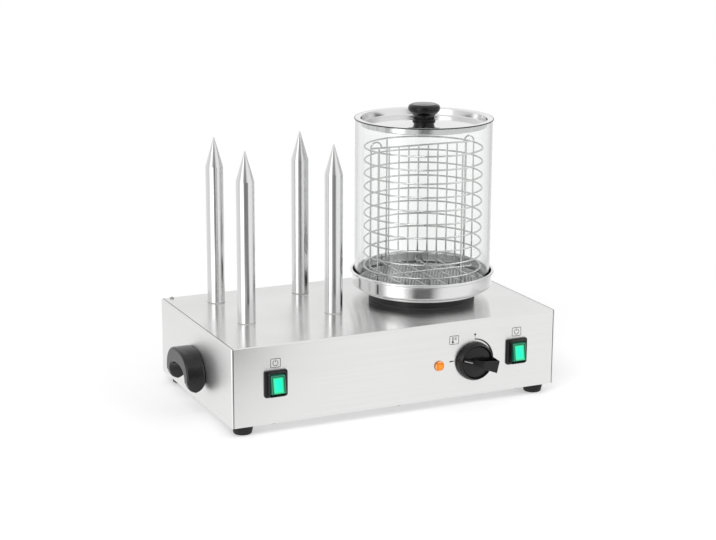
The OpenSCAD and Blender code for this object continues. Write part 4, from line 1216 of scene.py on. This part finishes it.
class MakeLid(bpy.types.Operator):
    """Builds the pressed lid with its knob"""

    bl_idname = "toaster.lid"
    bl_label = "Lid"

    def execute(self, context):
        look = context.scene.toaster_steamer
        low, high, _, rim = measured("lid")
        half = look.sheet / 2
        top = high.z - half
        lip = top - 0.0012
        floor = low.z + half
        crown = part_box("lid_knob")[0].z - half
        line = filleted([
            (0.0027, crown, 0), (0.0185, crown, 0.004), (0.030, crown - 0.0012, 0.006),
            (0.080, floor + 0.0008, 0.006), (0.0855, floor, 0.0015), (0.0893, floor + 0.0006, 0.0018),
            (0.0906, top, 0.0016), (rim - 0.0012, top, 0.0006), (rim - 0.0012, lip, 0),
        ], step=math.radians(8))
        steel = turned_steel("pressed_steel", look.polished, 0.09, AXIS.x, AXIS.y, 500.0, 0.25)
        add_piece("lid_pressing", turned("lid", thickened(line, look.sheet),
                                         ON_AXIS, closed=True, steps=192),
                  "lid", "lid_steel", steel, "lid")
        # a thin bead round the rim in near-black steel: its dark colour is a painted reflection, a dark line
        # along the far rim
        bead = arc((rim - 0.0009, high.z - 0.0009), 0.0009, 0, 360, 12)[:-1]
        bm = bmesh.new()
        turn_into(bm, bead, ON_AXIS, closed=True, steps=192)
        add_piece("lid_bead", finished(bm, "lid_bead", math.radians(60)), "lid", "lid_steel",
                  turned_steel("bead_painted_reflection", (0.07, 0.07, 0.07), 0.25, AXIS.x, AXIS.y, 500.0, 0.1))
        self.knob(context)
        dress("lid_screw", plain_metal("lid_screw", (0.5, 0.5, 0.5), 0.3))
        return {"FINISHED"}

    def knob(self, context):
        """A waisted knob with a broad, nearly flat top."""
        low, high, _, wide = measured("lid_knob")
        height = high.z - low.z
        neck = 0.0165
        profile = filleted([
            (0.0026, 0, 0), (neck, 0, 0.0008), (neck, height * 0.10, 0.0008),
            (neck - 0.0012, height * 0.13, 0.0008), (neck - 0.0012, height * 0.30, 0.002),
            (neck + 0.0006, height * 0.40, 0.003), (wide - 0.0012, height * 0.60, 0.004),
            (wide, height * 0.74, 0.003), (wide - 0.0012, height * 0.90, 0.0025),
            (wide - 0.0052, height * 0.985, 0.003), (wide - 0.008, height * 0.975, 0.002),
            (0, height, 0),
        ], step=math.radians(8))
        black = moulded_plastic("lid_knob_bakelite", context.scene.toaster_casing.black, 0.11,
                                900.0, 0.000008, Specular_IOR_Level=0.36)
        add_piece("lid_knob_moulding",
                  turned("lid_knob", profile, upright(AXIS.x, AXIS.y, low.z), steps=128),
                  "lid", "black_knob", black, "lid_knob")


class DressInside(bpy.types.Operator):
    """Finishes the parts inside the casing and the cable inlet"""

    bl_idname = "toaster.inside"
    bl_label = "Inside and inlet"

    def execute(self, context):
        look = context.scene.toaster_casing
        brass = plain_metal("brass", (0.62, 0.44, 0.16), 0.28)
        dress("terminal_block", moulded_plastic("terminal_block", (0.70, 0.68, 0.60), 0.45))
        dress("terminal_screws", brass)
        dress("earth_stud", brass)
        dress("cable_gland", moulded_plastic("gland_nylon", look.black, 0.42))
        dress("gland_nut", moulded_plastic("gland_nut_nylon", look.black, 0.42))
        dress("wiring_loom", soft_rubber("wire_insulation", (0.25, 0.09, 0.04), 0.6))
        return {"FINISHED"}


# ---------------------------------------------------------------- stage

class SetStage(bpy.types.Operator):
    """Sets the pale floor, the soft light and the camera"""

    bl_idname = "toaster.stage"
    bl_label = "Floor, light and camera"

    def execute(self, context):
        studio = context.scene.toaster_studio
        self.camera(context, studio)
        self.floor(context, studio)
        self.world(context, studio)
        for card in self.cards:
            self.card(context, *card)
        self.lamps(context)
        context.scene.view_settings.view_transform = "Standard"
        return {"FINISHED"}

    @staticmethod
    def camera(context, studio):
        """Looks from the photograph's angle at the aim point."""
        a, e, r = studio.azimuth, studio.elevation, studio.roll
        back = Vector((math.sin(a) * math.cos(e), -math.cos(a) * math.cos(e), math.sin(e)))
        right = Vector((math.cos(a), math.sin(a), 0))
        up = back.cross(right)
        turned_right = right * math.cos(r) + up * math.sin(r)
        turned_up = up * math.cos(r) - right * math.sin(r)
        data = bpy.data.cameras.new("camera")
        data.sensor_width = 36
        data.lens = studio.lens
        camera = bpy.data.objects.new("camera", data)
        context.scene.collection.objects.link(camera)
        basis = Matrix((turned_right, turned_up, back)).transposed().to_4x4()
        camera.matrix_world = Matrix.Translation(Vector(studio.aim) + back * studio.distance) @ basis
        context.scene.camera = camera

    @staticmethod
    def staged(context, name, mesh):
        """Adds a piece of the stage; gives it and its material's empty node tree."""
        thing = bpy.data.objects.new(name, mesh)
        context.scene.collection.objects.link(thing)
        material = bpy.data.materials.new(name)
        material.use_nodes = True
        material.node_tree.nodes.clear()
        mesh.materials.append(material)
        return thing, material.node_tree

    def floor(self, context, studio):
        """A round pale floor that fades into the backdrop at its edge."""
        bm = bmesh.new()
        turn_into(bm, [(0, 0), (studio.floor * 0.5, 0), (studio.floor, 0)],
                  upright(0, 0, -0.0002), steps=96)
        _, tree = self.staged(context, "floor", finished(bm, "floor"))
        diffuse = add_node(tree, "BsdfDiffuse", {"Color": (0.9, 0.9, 0.9, 1)})
        glow = add_node(tree, "Emission", {"Strength": 0.35})
        body = add_node(tree, "AddShader", {0: diffuse.outputs[0], 1: glow.outputs[0]})
        # shiny surfaces see the floor without the machine's shadow, which keeps the sheets even
        depth = add_node(tree, "LightPath").outputs["Glossy Depth"]
        even = add_node(tree, "Emission", {"Strength": 0.97})
        seen = add_node(tree, "MixShader", {"Fac": calculated(tree, "GREATER_THAN", depth, 0.5),
                                            1: body.outputs[0], 2: even.outputs[0]})
        place = add_node(tree, "NewGeometry").outputs["Position"]
        reach = add_node(tree, "VectorMath", {0: place}, operation="LENGTH").outputs["Value"]
        edge = add_node(tree, "MapRange", {
            "Value": reach, "From Min": studio.floor * 0.45, "From Max": studio.floor * 0.85,
        }, interpolation_type="SMOOTHSTEP")
        clear = add_node(tree, "BsdfTransparent")
        fade = add_node(tree, "MixShader", {"Fac": edge.outputs["Result"], 1: seen.outputs[0],
                                            2: clear.outputs[0]})
        add_node(tree, "OutputMaterial", {"Surface": fade.outputs[0]})

    # curved cards round the steamer: first and last azimuth in degrees, lowest and highest edge,
    # distance and brightness
    cards = (
        ("dark_card_low", -58, 6, 0.0, 0.034, 0.62, 0.04),
        ("dark_card_high", -45, -5, 0.034, 0.42, 0.62, 0.24),
        ("bright_card", -88, -54, 0.0006, 0.42, 0.64, 2.2),
    )

    def card(self, context, name, start, end, low, high, reach, brightness):
        """A curved card with soft ends in front of the steamer, seen only in shiny surfaces."""
        steps = 30
        line = [(reach, low), (reach, high)]
        if low == 0:
            line.insert(0, (0.87 * reach, 0.0005))  # a flap on the floor
        bm = bmesh.new()
        shade = bm.loops.layers.color.new("shade")
        columns = []
        for k in range(steps + 1):
            angle = math.radians(start + (end - start) * k / steps)
            columns.append([bm.verts.new((AXIS.x + out * math.sin(angle),
                                          AXIS.y - out * math.cos(angle), z)) for out, z in line])
        weight = [min(1, 3.2 * min(k, steps - k) / steps) for k in range(steps + 1)]
        for k, (one, other) in enumerate(zip(columns, columns[1:])):
            for row in range(len(line) - 1):
                face = bm.faces.new((one[row], one[row + 1], other[row + 1], other[row]))
                for loop, column in zip(face.loops, (k, k, k + 1, k + 1)):
                    loop[shade] = (*[weight[column]] * 3, 1)
        card, tree = self.staged(context, name, finished(bm, name))
        card.visible_camera = False
        card.visible_diffuse = False
        card.visible_shadow = False
        weights = add_node(tree, "VertexColor", layer_name="shade")
        clear = add_node(tree, "BsdfTransparent")
        plain = add_node(tree, "Emission", {"Color": (1, 1, 1, 1), "Strength": brightness})
        mix = add_node(tree, "MixShader", {"Fac": weights.outputs["Color"], 1: clear.outputs[0],
                                           2: plain.outputs[0]})
        add_node(tree, "OutputMaterial", {"Surface": mix.outputs[0]})

    # azimuth in degrees, with 0 in front of the control panel and 90 to its right: brightness
    walls = (
        (-180, 0.96), (-135, 0.86), (-100, 0.78), (-84, 0.9), (-76, 1.6), (-58, 1.6), (-50, 0.9),
        (-38, 0.45), (-26, 0.22), (-14, 0.20), (-4, 0.40), (8, 0.85), (20, 0.95), (60, 0.95),
        (88, 0.66), (106, 0.55), (122, 0.70), (140, 0.96), (180, 0.96),
    )

    def world(self, context, studio):
        """White round about, with brighter and darker walls that show in the metal only."""
        world = bpy.data.worlds.new("studio")
        context.scene.world = world
        world.use_nodes = True
        tree = world.node_tree
        tree.nodes.clear()

        def step(operation, *values):
            return calculated(tree, operation, *values)

        def blended(share, one, other):
            mix = add_node(tree, "Mix", {"Factor": share, "A": one, "B": other})
            return mix.outputs["Result"]

        place = add_node(tree, "TexCoord").outputs["Generated"]
        apart = add_node(tree, "SeparateXYZ", {"Vector": place}).outputs
        turn = step("ARCTAN2", apart["X"], step("MULTIPLY", apart["Y"], -1))
        share = step("ADD", step("DIVIDE", turn, math.tau), 0.5)
        brightest = max(level for _, level in self.walls)
        ramp = colour_ramp(tree, share, [(angle / 360 + 0.5, [level / brightest] * 3)
                                         for angle, level in self.walls])
        bands = add_node(tree, "RGBToBW", {"Color": ramp}).outputs["Val"]
        high = add_node(tree, "MapRange", {"Value": apart["Z"], "From Min": 0.35, "From Max": 0.75})
        mirrored = blended(high.outputs["Result"], step("MULTIPLY", bands, brightest), 0.95)
        path = add_node(tree, "LightPath").outputs
        # what shines inside the glass meets an even pale grey, so the glass's edges stay faint
        within = step("GREATER_THAN", path["Transmission Depth"], 0.5)
        glossy = step("GREATER_THAN", path["Glossy Depth"], 0.5)
        bounced = step("MULTIPLY", glossy, step("SUBTRACT", 1, within))
        dimmed = step("MULTIPLY", step("MULTIPLY", glossy, within), 0.30)
        scattered = step("GREATER_THAN", path["Diffuse Depth"], 0.5)
        shown = blended(bounced, step("SUBTRACT", studio.backdrop, dimmed), mirrored)
        light = add_node(tree, "Background", {"Color": (1, 1, 1, 1),
                                              "Strength": blended(scattered, shown, 0.5)})
        add_node(tree, "OutputWorld", {"Surface": light.outputs[0]})
    @staticmethod
    def lamps(context):
        """Two large soft lamps, above left and above right."""
        for name, place, size, power in (
            ("key_lamp", (-1.5, -1.6, 2.2), 1.6, 26.0),
            ("fill_lamp", (1.8, -0.9, 1.9), 1.8, 13.0),
        ):
            data = bpy.data.lights.new(name, "AREA")
            data.size = size
            data.energy = power
            lamp = bpy.data.objects.new(name, data)
            context.scene.collection.objects.link(lamp)
            lamp.location = place
            aim = Vector((0, 0, 0.12)) - Vector(place)
            lamp.rotation_euler = aim.to_track_quat("-Z", "Y").to_euler()
            lamp.visible_glossy = False
            lamp.visible_camera = False


OPERATORS = (
    DressCasing, PrintSigns, MakeHandles, MakeFeet, MakeSwitches, MakeLamp, MakeThermostat,
    MakeSpikes, MakeHeatingPlate, MakePan, MakeTray, MakeGlass, MakeBasket, MakeLid, DressInside,
    SetStage,
)
GROUPS = (
    ("toaster_casing", ToasterCasing),
    ("toaster_steamer", ToasterSteamer),
    ("toaster_studio", ToasterStudio),
)


class ToasterPanel(bpy.types.Panel):
    """Lists the steps that build the toaster"""

    bl_idname = "VIEW3D_PT_toaster"
    bl_label = "Hot Dog Toaster"
    bl_space_type = "VIEW_3D"
    bl_region_type = "UI"
    bl_category = "Toaster"

    def draw(self, context):
        for operator in OPERATORS:
            self.layout.operator(operator.bl_idname)
        for attribute, group in GROUPS:
            box = self.layout.box()
            settings = getattr(context.scene, attribute)
            for name in group.__annotations__:
                box.prop(settings, name)


def register():
    """Registers the settings, the steps and the panel."""
    for attribute, group in GROUPS:
        bpy.utils.register_class(group)
        setattr(bpy.types.Scene, attribute, bpy.props.PointerProperty(type=group))
    for operator in OPERATORS:
        bpy.utils.register_class(operator)
    bpy.utils.register_class(ToasterPanel)


def unregister():
    """Takes back what register did."""
    bpy.utils.unregister_class(ToasterPanel)
    for operator in reversed(OPERATORS):
        bpy.utils.unregister_class(operator)
    for attribute, group in reversed(GROUPS):
        delattr(bpy.types.Scene, attribute)
        bpy.utils.unregister_class(group)


def main():
    """Builds every piece and the stage."""
    register()
    for operator in OPERATORS:
        getattr(bpy.ops.toaster, operator.bl_idname.removeprefix("toaster."))()


if __name__ == "__main__":
    main()
